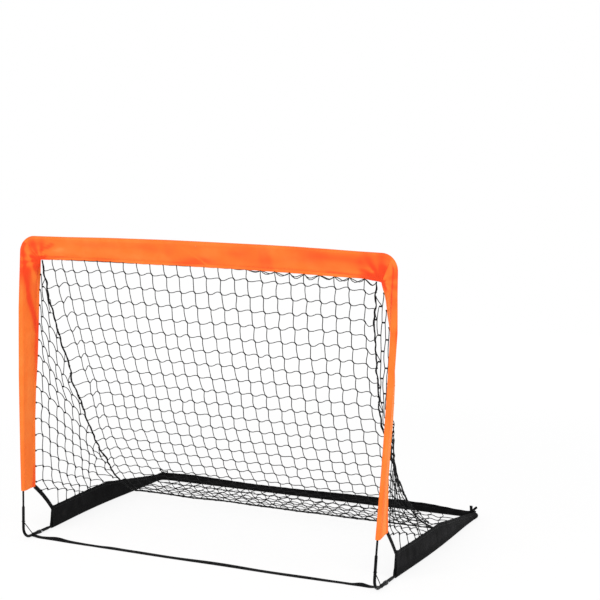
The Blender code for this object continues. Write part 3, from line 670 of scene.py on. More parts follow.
def sleeve(name, path, hems, finish, ripple, first=None, last=None, steps=WEB_STEPS):
    """A sleeve along a path. The web reaches to a hem point for each point of the path."""
    directions = tangents(path)
    directions[0], directions[-1] = first or directions[0], last or directions[-1]
    along = travelled(path)
    rings, lining, folds, lined_folds, girths = [], [], [], [], []
    for k, (point, forward, hem) in enumerate(zip(path, directions, hems)):
        web = hem - point
        square = (web - forward * web.dot(forward)).normalized()
        through, flat = forward.cross(square), web.normalized()
        outside, inside = sleeve_section(web.length, steps=steps)
        for section, wall, painted_tones in ((outside, rings, folds), (inside, lining, lined_folds)):
            ring = []
            for w, n in section:
                reach = square.lerp(flat, smooth((w - SLEEVE_RADIUS) / 0.02))
                spot = point + reach * w + through * n
                lift, slip, fold = ripple(along[k], w / web.length, n, spot, point)
                ring.append(spot + through * lift + slip)
                painted_tones.append(fold)
            wall.append(ring)
        girths.append(travelled([Vector((w, n, 0)) for w, n in [*outside, outside[0]]]))
    # Each point's painted light and shade, from the ripple, goes to the finish as an attribute.
    marks = {"fold": folds + lined_folds}
    return rings_mesh(name, rings, finish, lining, marks, across=girths, along=along)


print("points round a sleeve:", len(sleeve_section(POST_WEB)[0]))

# %% [markdown]
# ## Where the photographed goal leaves the drawing
# The real frame is springy, and its cloth isn't cut to a line. The crossbar sinks towards its right
# corner, the posts' webs turn inwards by different amounts as they rise, and the fold of each sleeve
# stands off its rod in the middle of its run. Each of these is a short table: a row of places and a
# row of amounts. Places are x along the crossbar and heights along the posts.

# %% Tables of the measured shape
CORNER_PLACE = {LEFT: (0.0485, 0.0000), RIGHT: (0.0535, 0.0160)}
BAR_DROP = ((0.20, 0.30, 0.40, 0.50, 0.55), (0.0, 0.0008, 0.0034, 0.0068, 0.0080))
BAR_LIFT = (
    (-0.55, -0.45, -0.30, -0.10, 0.00, 0.15, 0.28, 0.35),
    (0.0, 0.0006, 0.0030, 0.0038, 0.0030, 0.0015, 0.0004, 0.0),
)
BAR_HEM = (
    (-0.555, -0.50, -0.30, -0.10, 0.10, 0.20, 0.30, 0.40, 0.50, 0.55),
    (0.0, 0.0024, 0.0023, 0.0017, 0.0006, -0.0014, -0.0036, -0.0062, -0.0088, -0.0160),
)
# The posts' turns are in degrees.
POST_TURN = {
    LEFT: ((0.15, 0.35, 0.45, 0.55, 0.65, 0.74, 0.81), (0, 0, 4.5, 12, 16, 18, 26)),
    RIGHT: (
        (0.15, 0.20, 0.30, 0.45, 0.56, 0.62, 0.68, 0.74, 0.78, 0.82),
        (-5, 0, 6.5, 6.5, 8, 12, 23, 35, 41, 50),
    ),
}
POST_SLACK = {
    LEFT: (
        (0.15, 0.25, 0.40, 0.50, 0.70, 0.78, 0.87),
        (0.0006, 0.0026, 0.0050, 0.0064, 0.0064, 0.0040, 0.0005),
    ),
    RIGHT: (
        (0.15, 0.30, 0.45, 0.60, 0.70, 0.76, 0.82, 0.87),
        (0.0006, 0.0010, 0.0036, 0.0070, 0.0088, 0.0058, 0.0024, 0.0),
    ),
}
POST_BOW = {LEFT: 0.0010, RIGHT: 0.0045}


def read(table, place):
    return float(np.interp(place, *table))


def sunk(point):
    """Where a point of the drawing's frame is once the crossbar has sunk to the right."""
    return point - UP * (read(BAR_DROP, point.x) * smooth((point.z - 0.68) / 0.14))


def bowed(side, point):
    """Where a point of a post is once the post has bowed outwards."""
    share = min(max((point.z - 0.13) / 0.68, 0.0), 1.0)
    return point + X * (side * POST_BOW[side] * math.sin(math.pi * share))


print("right corner sinks by", round(1000 * read(BAR_DROP, 0.6), 1), "mm")

# %% The paths of the frame's sleeves
STATION = 0.006
ARC_STEPS = 20
HEM_SHARES = ((0.0, 0.607, 0.738, 0.869, 1.0), (0.0, 0.55, 0.78, 0.92, 1.0))
FOOT_ROOM = {LEFT: 0.004, RIGHT: 0.009}
FOOT_DRAW = {LEFT: Vector((0, -0.0015, -0.001)), RIGHT: Vector((0, -0.0015, 0.0045))}


def bar_hem(x):
    drop = Vector((0, math.sin(WEB_TILT), -math.cos(WEB_TILT))) * CROSSBAR_WEB
    return at(x, SET_BACK, HEIGHT) + drop + UP * read(BAR_HEM, x)


def inner_corner(side):
    inset, drop = CORNER_PLACE[side]
    return bar_hem(0) + X * (side * (TOP_WIDTH / 2 - inset)) - UP * (read(BAR_HEM, 0) + drop)


def post_web(side, z):
    angle = math.radians(read(POST_TURN[side], z))
    return Vector((-side * math.sin(angle), math.cos(angle), 0)) * POST_WEB


def top_arc(side):
    down, inward = post_point(side, POST_LENGTH - TOP_LEG), top(side) - X * (side * TOP_LEG)
    return [sunk(p) for p in bend(down, top(side), inward, TOP_BEND, ARC_STEPS)[1:-1]]


def to_corner(path, hem, corner):
    """Hem points that run from a hem into the inner corner as the path goes round the bend."""
    far = travelled(path)
    return [hem.lerp(corner, read(HEM_SHARES, distance / far[-1])) for distance in far]


def post_lines(side):
    """The post's path from the foot of its sleeve to the mitre, and the hem of its web."""
    low, high = post_point(side, SLEEVE_FOOT - FOOT_ROOM[side]), post_point(side, POST_LENGTH - SLEEVE_TURN)
    straight = [bowed(side, p) for p in fill_in([low, sunk(high)], STATION)]
    hems = [p + post_web(side, p.z) for p in straight]
    for k, share in enumerate((1.0, 0.6, 0.3, 0.1)):
        hems[k] += FOOT_DRAW[side] * share
    round_bend = fill_in([straight[-1], *top_arc(side)[: ARC_STEPS // 2 + 1]], STATION)
    return straight[:-1] + round_bend, hems[:-1] + to_corner(round_bend, hems[-1], inner_corner(side))


def crossbar_lines(side):
    """Half the crossbar, from the mitre to the middle of the goal."""
    turn, middle = at(side * (TOP_WIDTH / 2 - SLEEVE_TURN), SET_BACK, HEIGHT), at(0, SET_BACK, HEIGHT)
    straight = [sunk(p) for p in fill_in([turn, middle], STATION)]
    hems = [bar_hem(point.x) for point in straight]
    round_bend = fill_in([straight[0], *reversed(top_arc(side)[ARC_STEPS // 2 :])], STATION)
    corner = to_corner(round_bend, hems[0], inner_corner(side))
    return round_bend[::-1][:-1] + straight, corner[::-1][:-1] + hems


def mitre(side):
    arc = top_arc(side)
    return (arc[ARC_STEPS // 2 + 1] - arc[ARC_STEPS // 2 - 1]).normalized()


for side_name, side in SIDES:
    print(side_name, "post sleeve:", round(travelled(post_lines(side)[0])[-1], 3), "m")

# %% [markdown]
# The folds come from two things. Slow noise makes long soft waves, and each layer has its own. The
# pull at the inner corner makes pleats that spread from it like a fan. Light and shade are painted
# on both, with a painted shade that deepens towards the inner corner. A few creases are only
# painted, as a line from one place to another: the deep ones as redder painted shade and the pulled
# ones as paler painted highlight.

# %% Folds in the orange cloth, and painted creases, light and shade
SCALLOP, CREASE_END = 0.044, 0.012
LONG_FOLD, OWN_FOLD = 0.0014, 0.0013
PLEATS, PLEAT_REACH, PLEAT_DEPTH = 9, 0.040, 0.0016
HEM_LINE, HEM_LINE_DEPTH = 0.0011, 0.0004
# A painted crease has a place and a share of the way to the hem at each of its ends, a width and an
# amount. An amount above nothing paints shade, and one below nothing paints highlight.
POST_PAINTED_CREASES = {
    LEFT: (
        (0.895, 0.02, 0.820, 0.10, 0.055, 0.6),
        (0.820, 0.10, 0.730, 0.36, 0.10, 0.9),
        (0.730, 0.36, 0.640, 0.88, 0.14, 0.9),
        (0.640, 0.90, 0.480, 0.93, 0.08, 0.7),
        (0.860, 0.30, 0.790, 0.66, 0.11, -0.8),
        (0.740, 0.35, 0.300, 0.42, 0.22, -0.25),
        (0.210, 0.95, 0.155, 0.85, 0.14, 0.7),
        (0.880, 0.50, 0.640, 0.50, 0.80, 0.30),
    ),
    RIGHT: (
        (0.870, 0.05, 0.700, 0.10, 0.050, 1.3),
        (0.700, 0.10, 0.640, 0.16, 0.09, 1.2),
        (0.640, 0.16, 0.450, 0.10, 0.10, 0.6),
        (0.840, 0.55, 0.700, 0.50, 0.22, -0.7),
        (0.640, 0.70, 0.160, 0.60, 0.28, -0.7),
        (0.200, 0.98, 0.150, 0.90, 0.12, 0.8),
        (0.560, 0.60, 0.160, 0.60, 0.60, -0.45),
    ),
}
BAR_PAINTED_CREASES = (
    (-0.560, 0.75, -0.470, 0.45, 0.10, -0.7),
    (-0.540, 0.95, -0.430, 0.72, 0.07, 0.4),
    (-0.545, 0.60, -0.500, 0.25, 0.08, 0.5),
    (0.560, 0.80, 0.500, 0.50, 0.10, -0.5),
    (0.575, 0.45, 0.540, 0.85, 0.12, 0.8),
    (0.540, 0.95, 0.400, 0.82, 0.06, 0.35),
    (-0.050, 0.10, 0.020, 0.90, 0.05, -0.4),
    (0.200, 0.50, 0.560, 0.50, 0.80, 0.22),
    (0.500, 0.55, 0.580, 0.45, 0.60, 0.45),
    (-0.100, 0.50, 0.220, 0.50, 0.80, 0.32),
)


def painted_crease_tone(painted_creases, place, share):
    """The sum of the painted creases at a place along the sleeve and a share of the way to its hem: shade
    where it is above nothing, highlight where it is below.
    """
    painted_tone = 0.0
    for one, share_one, two, share_two, width, amount in painted_creases:
        t = min(max((place - one) / (two - one), 0.0), 1.0)
        past = (place - one - (two - one) * t) / CREASE_END
        off = (share - share_one - (share_two - share_one) * t) / width
        painted_tone += amount * math.exp(-off * off - past * past)
    return painted_tone


def scallop(distance, share, depth):
    """Between its ties the hem bows by this depth."""
    return UP * (depth * abs(math.sin(math.pi * distance / SCALLOP)) * smooth((share - 0.8) / 0.2))


def orange_ripple(corners, seed, web_width, painted_creases, slack, outward, axis):
    """How each point of a ring leaves the plain section, and how much light and shade is painted on it.

    The tables of painted creases and of slack are read at the point's place on this axis of the scene.
    """

    def ripple(distance, share, through, spot, centre):
        share = max(share, 0.0)
        place = spot[axis]
        web, middle = smooth((share - 0.05) / 0.25), math.sin(math.pi * min(share / 0.86, 1.0))
        layer = 1 if through > 0 else -1
        long_fold = noise.noise(Vector((distance / 0.17, share * 2.6, seed)))
        own = noise.noise(Vector((distance / 0.10, share * 2.2, seed + 20 * layer)))
        lift = LONG_FOLD * web * long_fold + OWN_FOLD * middle * own
        # Painted light and shade that follow the soft folds, and the painted creases.
        painted_tone = 0.30 * long_fold + 0.35 * own + painted_crease_tone(painted_creases, place, share)
        for corner, way in corners:
            ray = spot - corner
            near = math.exp(-ray.length / PLEAT_REACH)
            angle = math.atan2(ray.z, ray.x * way)
            pleat = math.sin(angle * PLEATS + 1.3 * math.sin(angle * 3)) * smooth(ray.length / 0.02)
            lift += PLEAT_DEPTH * near * pleat * web
            # Painted shade, deeper towards the inner corner and in the hollows between the pleats.
            painted_tone += near * (1.25 - 0.8 * pleat)
        hem_line = math.exp(-((((1 - share) * web_width - HEM) / HEM_LINE) ** 2))
        lift -= HEM_LINE_DEPTH * hem_line * layer
        off = (spot - centre).dot(outward)
        slip = outward * (read(slack, place) * smooth((off + 0.0015) / 0.0060) * (1 - smooth(share / 0.85)))
        if outward.z:
            slip += scallop(distance, share, 0.0006)
        # The hem's groove takes painted shade too.
        return lift, slip, max(-1.0, min(1.0, painted_tone + 0.30 * hem_line))

    return ripple


def post_cloth(name, side):
    path, hems = post_lines(side)
    corner = [(inner_corner(side), side)]
    painted_creases, slack = POST_PAINTED_CREASES[side], POST_SLACK[side]
    ripple = orange_ripple(corner, 3.0 * side, POST_WEB, painted_creases, slack, X * side, axis=2)
    made = sleeve(f"post_cloth_{name}", path, hems, ORANGE, ripple, last=mitre(side))
    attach(made, f"frame_{name}")
    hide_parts(f"post_sleeve_{name}")
    return made


HINGE_SWELL = 0.0056
FRAME_LEAN = Vector((0, 0.997042, -0.076865))


def crossbar_cloth():
    """One strip over both halves of the crossbar, with a low swelling over the hidden hinge."""
    left_path, left_hems = crossbar_lines(LEFT)
    right_path, right_hems = crossbar_lines(RIGHT)
    path, hems = left_path + right_path[::-1][1:], left_hems + right_hems[::-1][1:]
    corners = [(inner_corner(side), side) for _, side in SIDES]
    ripple = orange_ripple(corners, 11.0, CROSSBAR_WEB, BAR_PAINTED_CREASES, BAR_LIFT, UP, axis=0)
    made = sleeve("crossbar_cloth", path, hems, ORANGE, ripple, mitre(LEFT), -mitre(RIGHT))
    for vertex in made.data.vertices:
        over = vertex.co - at(vertex.co.x, SET_BACK, HEIGHT)
        front = smooth(-over.dot(FRAME_LEAN) / 0.004) * smooth((0.030 - abs(vertex.co.x)) / 0.022)
        vertex.co -= FRAME_LEAN * (HINGE_SWELL * front * (1 - smooth((-over.z - 0.012) / 0.03)))
    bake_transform(made)
    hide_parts("crossbar_sleeve_left", "crossbar_sleeve_right")
    return made


POST_CLOTH = {side: post_cloth(side_name, side) for side_name, side in SIDES}
BAR_CLOTH = crossbar_cloth()
print([piece.name for piece in (*POST_CLOTH.values(), BAR_CLOTH)])

# %% [markdown]
# ## Rods that follow the bent shape
# Where the frame sinks or a side rail bows outwards, the straight CAD rod would come through the
# cloth. Those rods are made again along the bent line. The posts' rods are thinner than the feet they
# stand in, and show for a few centimetres below the sleeves.


# %% Round cords and bars
def cord(name, path, radius, finish, sides=10):
    """A solid round cord of one radius, or of one radius for each point of its path.

    It has the attributes that the twisted finish reads.
    """
    along, forward = travelled(path), tangents(path)
    radii = radius if isinstance(radius, (list, tuple)) else [radius] * len(path)
    across = forward[0].orthogonal()
    rings = []
    for point, direction, girth in zip(path, forward, radii):
        across = (across - direction * across.dot(direction)).normalized()
        rings.append(circle(point, direction, across, girth, sides))
    turns = [k / sides for k in range(sides)]
    marks = {"along": [a for a in along for _ in turns], "turn": turns * len(along)}
    return rings_mesh(name, rings, finish, marks=marks)


def tube(name, path, radii, bore):
    """A bent tube, open at both ends."""
    middle = path[len(path) // 2]
    across = (path[0] - middle).cross(path[-1] - middle).normalized()
    rings, lining = [], []
    for point, forward, radius in zip(path, tangents(path), radii):
        rings.append(circle(point, forward, across, radius, 24))
        lining.append(circle(point, forward, across, bore, 24))
    return rings_mesh(name, rings, TUBE, lining)


# %% The frame's rods and the rails' rods
POST_BAR, FOOT_TUBE, FOOT_TUBE_UP = 0.0029, 0.00425, 0.098
# How far the rods go into the foot and into the other bends, and what the eye and the hinge take up.
IN_FOOT, IN_TUBE, EYE_LENGTH, HINGE_HALF = 0.028, 0.03, 0.0106, 0.0124
TOP_BORE, FOOT_BORE = ROD_RADIUS + 0.0003, POST_BAR + 0.0002
RAIL_BOW = {LEFT: 0.012, RIGHT: 0.007}
BOW_START, BOW_END = 0.130, DEPTH - REAR_LEG


def rail_line(side, setback):
    """A point on the bowed side rail."""
    share = min(max((setback - BOW_START) / (BOW_END - BOW_START), 0), 1)
    return rail_point(side, setback) + X * (side * RAIL_BOW[side] * math.sin(math.pi * share) ** 1.3)


def frame_rods(name, side):
    low, high = post_point(side, FOOT_TUBE_UP - IN_FOOT), post_point(side, POST_LENGTH - TOP_LEG + IN_TUBE)
    line = [bowed(side, p) for p in fill_in([low, sunk(high)], 0.04)]
    post = cord(f"post_bar_{name}", line, POST_BAR, ROD, 16)
    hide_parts(f"post_rod_{name}")
    front, back = rail_point(side, PIVOT_SETBACK + EYE_LENGTH), rail_point(side, BOW_END + IN_TUBE)
    line = [rail_line(side, p.y + DEPTH / 2) for p in fill_in([front, back], 0.02)]
    rail = cord(f"rail_bar_{name}", line, ROD_RADIUS, ROD, 16)
    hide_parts(f"side_rod_{name}")
    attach(post, f"frame_{name}")
    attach(rail, f"base_{name}")
    low = post_point(side, POST_LENGTH - TOP_LEG)
    inner = at(side * (TOP_WIDTH / 2 - TOP_LEG), SET_BACK, HEIGHT)
    bent = [sunk(low), *top_arc(side), sunk(inner)]
    corner = tube(f"top_tube_{name}", bent, [TUBE_RADIUS] * len(bent), TOP_BORE)
    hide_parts(f"top_elbow_{name}")
    hinge_end = at(side * HINGE_HALF, SET_BACK, HEIGHT)
    ends = at(side * (TOP_WIDTH / 2 - TOP_LEG + IN_TUBE), SET_BACK, HEIGHT), hinge_end
    bar = cord(f"crossbar_bar_{name}", [sunk(p) for p in fill_in(ends, 0.03)], ROD_RADIUS, ROD, 16)
    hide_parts(f"crossbar_rod_{name}")
    ride_all([bar], f"frame_{name}")
    ride_all([corner], f"frame_{name}")
    return post, rail, corner, bar


for side_name, side in SIDES:
    print([piece.name for piece in frame_rods(side_name, side)])

# %% [markdown]
# ## The black skirts and the rear sleeve
# The base's rods run in the same kind of sleeve, in black. Along the sides its web stands up as a
# skirt, and falls away towards the back, where a narrow sleeve holds the rear rod. The same
# cross-section is used, with a narrower hem where the web is low.

# %% Black skirts and rear sleeves
SKIRT_LEAN, SKIRT_SLANT = math.radians(1), {LEFT: 0.13, RIGHT: 0.21}
CORNER_LOOSE = {LEFT: 0.004, RIGHT: 0.018}
SKIRT_TALL = {LEFT: 0.0640, RIGHT: 0.0680}
# The second value is painted light: the right skirt is painted paler all over, as lit cloth.
SKIRT_FOLDS, SKIRT_PAINTED_LIGHT = 0.0016, {LEFT: 0.0, RIGHT: 0.6}
BAND_FOLDS, BAND_STEPS = 0.0006, 2
REAR_RISE = (
    (-0.57, -0.52, -0.45, -0.30, -0.22, -0.05, 0.15, 0.25, 0.42, 0.56),
    (0.0065, 0.0085, 0.0100, 0.0055, 0.0035, 0.0045, 0.0085, 0.0095, 0.0090, -0.0010),
)


def skirt_web(side, setback):
    """From a point of the rail up to the skirt's hem."""
    share = min(max((setback - SKIRT_TAPER) / (DEPTH - SKIRT_TAPER), 0), 1)
    corner_rise = read(REAR_RISE, side * REAR_WIDTH / 2) * smooth((share - 0.9) / 0.1)
    height = SKIRT_TALL[side] - (SKIRT_TALL[side] - REAR_WEB) * share + corner_rise
    slant = SKIRT_SLANT[side] * (1 - smooth((setback - SKIRT_START - 2 * BINDING_WIDTH) / 0.12))
    return Vector((-side * math.tan(SKIRT_LEAN), slant, 1)) * height


def black_ripple(seed, depth, pale_and_lit=0.0):
    """The black cloth is pulled into short upright folds, painted paler as highlight on their ridges and
    darker as shade between them.
    """

    def ripple(distance, share, through, spot, centre):
        share = max(share, 0.0)
        web, middle = smooth((share - 0.1) / 0.3), math.sin(math.pi * min(share / 0.86, 1.0))
        layer = 1 if through > 0 else -1
        upright = noise.noise(Vector((distance / 0.022, share * 1.2, seed)))
        broad = noise.noise(Vector((distance / 0.11, share * 1.6, seed + 5)))
        own = noise.noise(Vector((distance / 0.05, share * 2.0, seed + 20 * layer)))
        lift = depth * (web * (0.5 * upright + broad) + 0.6 * middle * own)
        # Painted highlight on the upright folds, painted shade between them, and any paleness painted on the
        # whole skirt as light.
        painted_tone = -((upright + 0.6 * own) * 0.8 + pale_and_lit) * web
        return lift, scallop(distance, share, -0.0007), max(-1.0, min(1.0, painted_tone))

    return ripple


def rear_arc(side):
    forward, inward = move_to(rear(side), foot(side), REAR_LEG), rear(side) - X * (side * REAR_LEG)
    return bend(forward, rear(side), inward, REAR_BEND, ARC_STEPS)[1:-1]


def draw_corner(piece, side, corner):
    """The cloth's rear corner is looser than the bent tube inside it, and stands off it."""
    outwards, round_corner = Vector((side, 1, 0)).normalized(), 0.022
    reach = Vector((side, 1, 0.25)).normalized() * CORNER_LOOSE[side]
    for vertex in piece.data.vertices:
        off = vertex.co - corner
        outside = smooth((off.dot(outwards) + 0.008) / 0.012)
        vertex.co += reach * (outside * math.exp(-((off.xy.length / round_corner) ** 2)))


def crumple(piece):
    """Gives the piece a mesh of its own."""
    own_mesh(piece)


def base_cloths(name, side):
    arc = rear_arc(side)
    half = ARC_STEPS // 2
    cut = (arc[half + 1] - arc[half - 1]).normalized()
    start = rail_point(side, SKIRT_START + BINDING_WIDTH * 0.5)
    straight = [rail_line(side, p.y + DEPTH / 2) for p in fill_in([start, arc[0]], STATION)]
    path = straight + arc[1 : half + 1]
    hems = [p + skirt_web(side, p.y + DEPTH / 2) for p in path]
    corner = hems[-1] - path[-1]
    folds = black_ripple(4.0 * side, SKIRT_FOLDS, SKIRT_PAINTED_LIGHT[side])
    skirt = sleeve(f"skirt_cloth_{name}", path, hems, BLACK, folds, last=cut)
    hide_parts(f"side_skirt_{name}")
    bent = fill_in(arc[half:], STATION)
    path = bent + fill_in([arc[-1], at(0, DEPTH, RAIL_HEIGHT)], STATION)[1:]
    rise = [REAR_WEB + read(REAR_RISE, p.x) for p in path]
    webs = [corner.lerp(UP * rise[k], smooth(k / (2 * len(bent)))) for k in range(len(path))]
    hems = [p + web for p, web in zip(path, webs)]
    folds = black_ripple(9.0 * side, BAND_FOLDS)
    band = sleeve(f"rear_cloth_{name}", path, hems, BLACK, folds, first=cut, steps=BAND_STEPS)
    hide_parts(f"rear_sleeve_{name}")
    for piece in (skirt, band):
        draw_corner(piece, side, arc[half])
    ride_all((skirt, band), f"base_{name}")
    crumple(skirt)
    return skirt, band


BASE_CLOTH = {side: base_cloths(side_name, side) for side_name, side in SIDES}
print([piece.name for pair in BASE_CLOTH.values() for piece in pair])

# %% [markdown]
# ## Tapes and straps
# Woven tape binds the front edge of each skirt, runs up to the post's sleeve as a brace, and crosses
# the mouth on the floor as a strap that keeps the feet apart. A tape is a thin oblong with rounded
# edges. Each point of its path has a width direction, so the tape can twist as a real one does.

# %% A tape along a path
BRACE_HALF, TAPE_THICK, BINDING_THICK, BRACE_STEPS = 0.0070, 0.0015, 0.0042, 16


def tape(name, path, widths, thickness, edge=0.25):
    """Each width vector points from the middle of the tape to one edge."""
    rings = []
    for point, along, width in zip(path, tangents(path), widths):
        through = along.cross(width).normalized() * (thickness / 2)
        section = [(1, edge), (0.93, 0.9), (0.45, 1), (0, 0.94), (-0.45, 1), (-0.93, 0.9), (-1, edge)]
        section += [(-s, -t) for s, t in section]
        rings.append([point + width * s + through * t for s, t in section])
    return rings_mesh(name, rings, TAPE, sharp=60)


def curve_between(one, middle, two, steps):
    """A smooth arc that starts at one, is drawn towards the middle point and ends at two."""
    shares = [k / steps for k in range(steps + 1)]
    return [one * (1 - s) ** 2 + middle * (2 * s * (1 - s)) + two * s**2 for s in shares]


def brace_ends(side):
    """The brace's middle line at both ends, and half its width there."""
    start = post_lines(side)[1][0] + Vector((0, -0.004, 0.002))
    end = rail_point(side, SKIRT_START + 0.001) + skirt_web(side, SKIRT_START) - UP * 0.004
    along = (end - start).normalized()
    across = along.cross(X).normalized() * BRACE_HALF
    return start, end, across * (1 if across.z > 0 else -1)


def brace_path(side, lift=0.0):
    """The brace's middle line, lifted by a share of half its width."""
    start, end, across = brace_ends(side)
    drawn = (start + end) / 2 + Vector((-side * 0.002, 0.004, 0.004))
    return [p + across * lift for p in curve_between(start, drawn, end, BRACE_STEPS)]


def side_tapes(name, side):
    start, end, across = brace_ends(side)
    brace = tape(f"brace_tape_{name}", brace_path(side), [across] * (BRACE_STEPS + 1), TAPE_THICK)
    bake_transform(brace)
    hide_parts(f"corner_brace_{name}")
    root = rail_point(side, SKIRT_START + BINDING_WIDTH / 2)
    web = skirt_web(side, SKIRT_START)
    path = fill_in([root - UP * 0.0004, root + web * 0.5, root + web + UP * 0.0004], 0.004)
    widths = [Vector((0, BINDING_WIDTH / 2, 0))] * len(path)
    bound = tape(f"skirt_tape_{name}", path, widths, BINDING_THICK, edge=0.7)
    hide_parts(f"skirt_binding_{name}")
    ride_all([bound], f"base_{name}")
    crumple(bound)
    return brace, bound


# Where the strap rolls on to one edge: the place, how far it reaches and how much it turns.
STRAP_ROLLS = ((-0.485, 0.030, 0.26), (-0.290, 0.035, 0.10), (0.515, 0.020, 0.30))
STRAP_STEPS = 150


def ground_strap():
    """The strap lies slack: it rolls a little on to one edge in places."""
    edge = FOOT_WIDTH / 2 + 0.0018 - TUBE_RADIUS
    path, widths = [], []
    for k in range(STRAP_STEPS + 1):
        x = edge * (2 * k / STRAP_STEPS - 1)
        inside = smooth((edge - abs(x)) / 0.05)
        roll = 0.06 + 0.05 * math.sin(x * 9 + 1.0) + 0.04 * math.sin(x * 23)
        roll += sum(turn * math.exp(-(((x - place) / reach) ** 2)) for place, reach, turn in STRAP_ROLLS)
        roll *= 0.3 + 0.7 * inside
        half = Vector((0, math.cos(roll), math.sin(roll))) * (STRAP_WIDTH / 2)
        lift = abs(half.z) + 0.0009 + 0.0030 * (1 - smooth((edge - abs(x)) / 0.03))
        sway = -0.004 * smooth((edge - abs(x)) / 0.3) + 0.0008 * math.sin(x * 17)
        path.append(at(x, STRAP_SETBACK + sway, lift))
        widths.append(half)
    strap = tape("ground_strap", path, widths, TAPE_THICK)
    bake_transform(strap)
    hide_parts("ground_strap_left", "ground_strap_right")
    return strap


for side_name, side in SIDES:
    print([piece.name for piece in side_tapes(side_name, side)])
print(ground_strap().name)

# %% [markdown]
# ## Bent feet, elastics and ties
# The feet are bent tubes that the posts stand in and the rails push into. Each has a swaged collar at
# the back and a rivet in front. An elastic is drawn across the inside of each foot. The cloth's rear
# corners are tied off, with short ends of cord on the left and of flat ribbon on the right.

# %% Feet, rivets and elastics
# Places in the foot's path: where the rivet is and, counted from its end, where the collar starts.
FOOT_STEPS, RIVET_AT, COLLAR_START, COLLAR_RISE = 18, 14, -6, 0.0009
ELASTIC_UP, ELASTIC_BACK, ELASTIC_RADIUS, LOOP_RADIUS = 0.0520, 0.0500, 0.0013, 0.0007


def join(name, pieces):
    """Makes one piece of several meshes that share a finish."""
    with bpy.context.temp_override(active_object=pieces[0], selected_editable_objects=pieces):
        bpy.ops.object.join()
    pieces[0].name = pieces[0].data.name = name
    return pieces[0]


def foot_path(side):
    """The bend, with closer points where the tube's end is chamfered and where its collar starts."""
    up, back = post_point(side, FOOT_TUBE_UP), move_to(rail_point(side, PIVOT_SETBACK), foot(side), FORK_ROOT)
    arc = bend(up, foot(side), back, FOOT_BEND, FOOT_STEPS)[1:-1]
    upper = [arc[0].lerp(up, share) for share in (1.0, 0.97, 0.5)]
    lower = [arc[-1].lerp(back, share) for share in (0.3, 0.34, 0.40, 0.9, 0.96, 1.0)]
    return upper + arc + lower


def foot_elbow(name, side):
    path = foot_path(side)
    far = travelled(path)
    radii = [FOOT_TUBE + COLLAR_RISE * smooth((d - far[COLLAR_START]) / 0.003) for d in far]
    radii[0] -= 0.0006
    radii[-1] -= 0.0005
    made = tube(f"foot_tube_{name}", path, radii, FOOT_BORE)
    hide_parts(f"foot_elbow_{name}")
    ride_all([made], f"frame_{name}")
    return made


def foot_rivet(name, side):
    """A domed rivet head on the front of the bend."""
    spot, outwards = foot_path(side)[RIVET_AT], Vector((0.15 * side, -0.9, -0.35)).normalized()
    base = spot + outwards * (FOOT_TUBE - 0.0006)
    heights, radii = (0.0, 0.0009, 0.0014, 0.0017), (0.0021, 0.0021, 0.0014, 0.0003)
    rivet = cord(f"foot_rivet_{name}", [base + outwards * h for h in heights], radii, STEEL, 16)
    ride_all([rivet], f"frame_{name}")
    return rivet


def loop_round(point, axis, reach):
    """One turn of cord round a tube, whose ends lie side by side."""
    one, beside = axis.orthogonal().normalized(), 0.0012
    two = axis.cross(one)
    spots = []
    for share in [k / 20 for k in range(21)]:
        angle = 2 * math.pi * share
        spoke = (one * math.cos(angle) + two * math.sin(angle)) * reach
        spots.append(point + spoke + axis * (beside * share))
    return spots


def elbow_elastic(name, side):
    one, two = post_point(side, ELASTIC_UP), rail_point(side, ELASTIC_BACK)
    room = FOOT_TUBE + LOOP_RADIUS
    path = fill_in([move_to(one, two, room), move_to(two, one, room)], 0.004)
    parts = [cord("elastic_run", path, ELASTIC_RADIUS, ELASTIC)]
    for point, axis in ((one, (top(side) - foot(side)).normalized()), (two, BACK)):
        parts.append(cord("elastic_loop", loop_round(point, axis, room), LOOP_RADIUS, ELASTIC))
    made = join(f"foot_elastic_{name}", parts)
    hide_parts(f"elbow_elastic_{name}")
    ride_all([made], f"frame_{name}")
    return made


for side_name, side in SIDES:
    print([make(side_name, side).name for make in (foot_elbow, foot_rivet, elbow_elastic)])

# %% Tied ends at the rear corners
TOGGLE_TAIL, KNOT_TAIL = Vector((0.020, 0.003, 0.004)), Vector((-0.004, -0.006, 0.010))
TAIL_RADIUS, TOGGLE_HALF, KNOT_HALF = 0.0016, 0.0045, 0.0030
# Each ribbon has where it ends, seen from the corner, and half its width.
RIBBONS = ((Vector((-0.002, 0.002, 0.0185)), 0.0056), (Vector((0.0190, -0.002, 0.0170)), 0.0038))
EYELET_PLACE, EYELET_FACING = Vector((0.0095, 0.0060, 0.0040)), Vector((0.62, -0.62, 0.48)).normalized()
# The eyelet's outline as heights and radii.
EYELET_SECTION = ((-0.0006, 0.0030), (-0.0002, 0.0034), (0.0008, 0.0034), (0.0012, 0.0028))
EYELET_BORE, EYELET_OUT = 0.0019, 0.0062


def cord_tail(root, tail):
    path = curve_between(root - tail * 0.12, root + tail * 0.45 + UP * 0.002, root + tail, 10)
    return path, cord("tail", path, TAIL_RADIUS, ELASTIC)


def toggle_tail(root):
    """A tail with a small bar across its end."""
    path, tail = cord_tail(root, TOGGLE_TAIL)
    end, along = path[-1], (path[-1] - path[-2]).normalized()
    across = along.cross(Vector((0.3, 1, 0))).normalized() * TOGGLE_HALF
    bar = [end - across, end - across * 0.8, end + across * 0.8, end + across]
    return [tail, cord("toggle", bar, (0.001, 0.002, 0.002, 0.001), ELASTIC)]


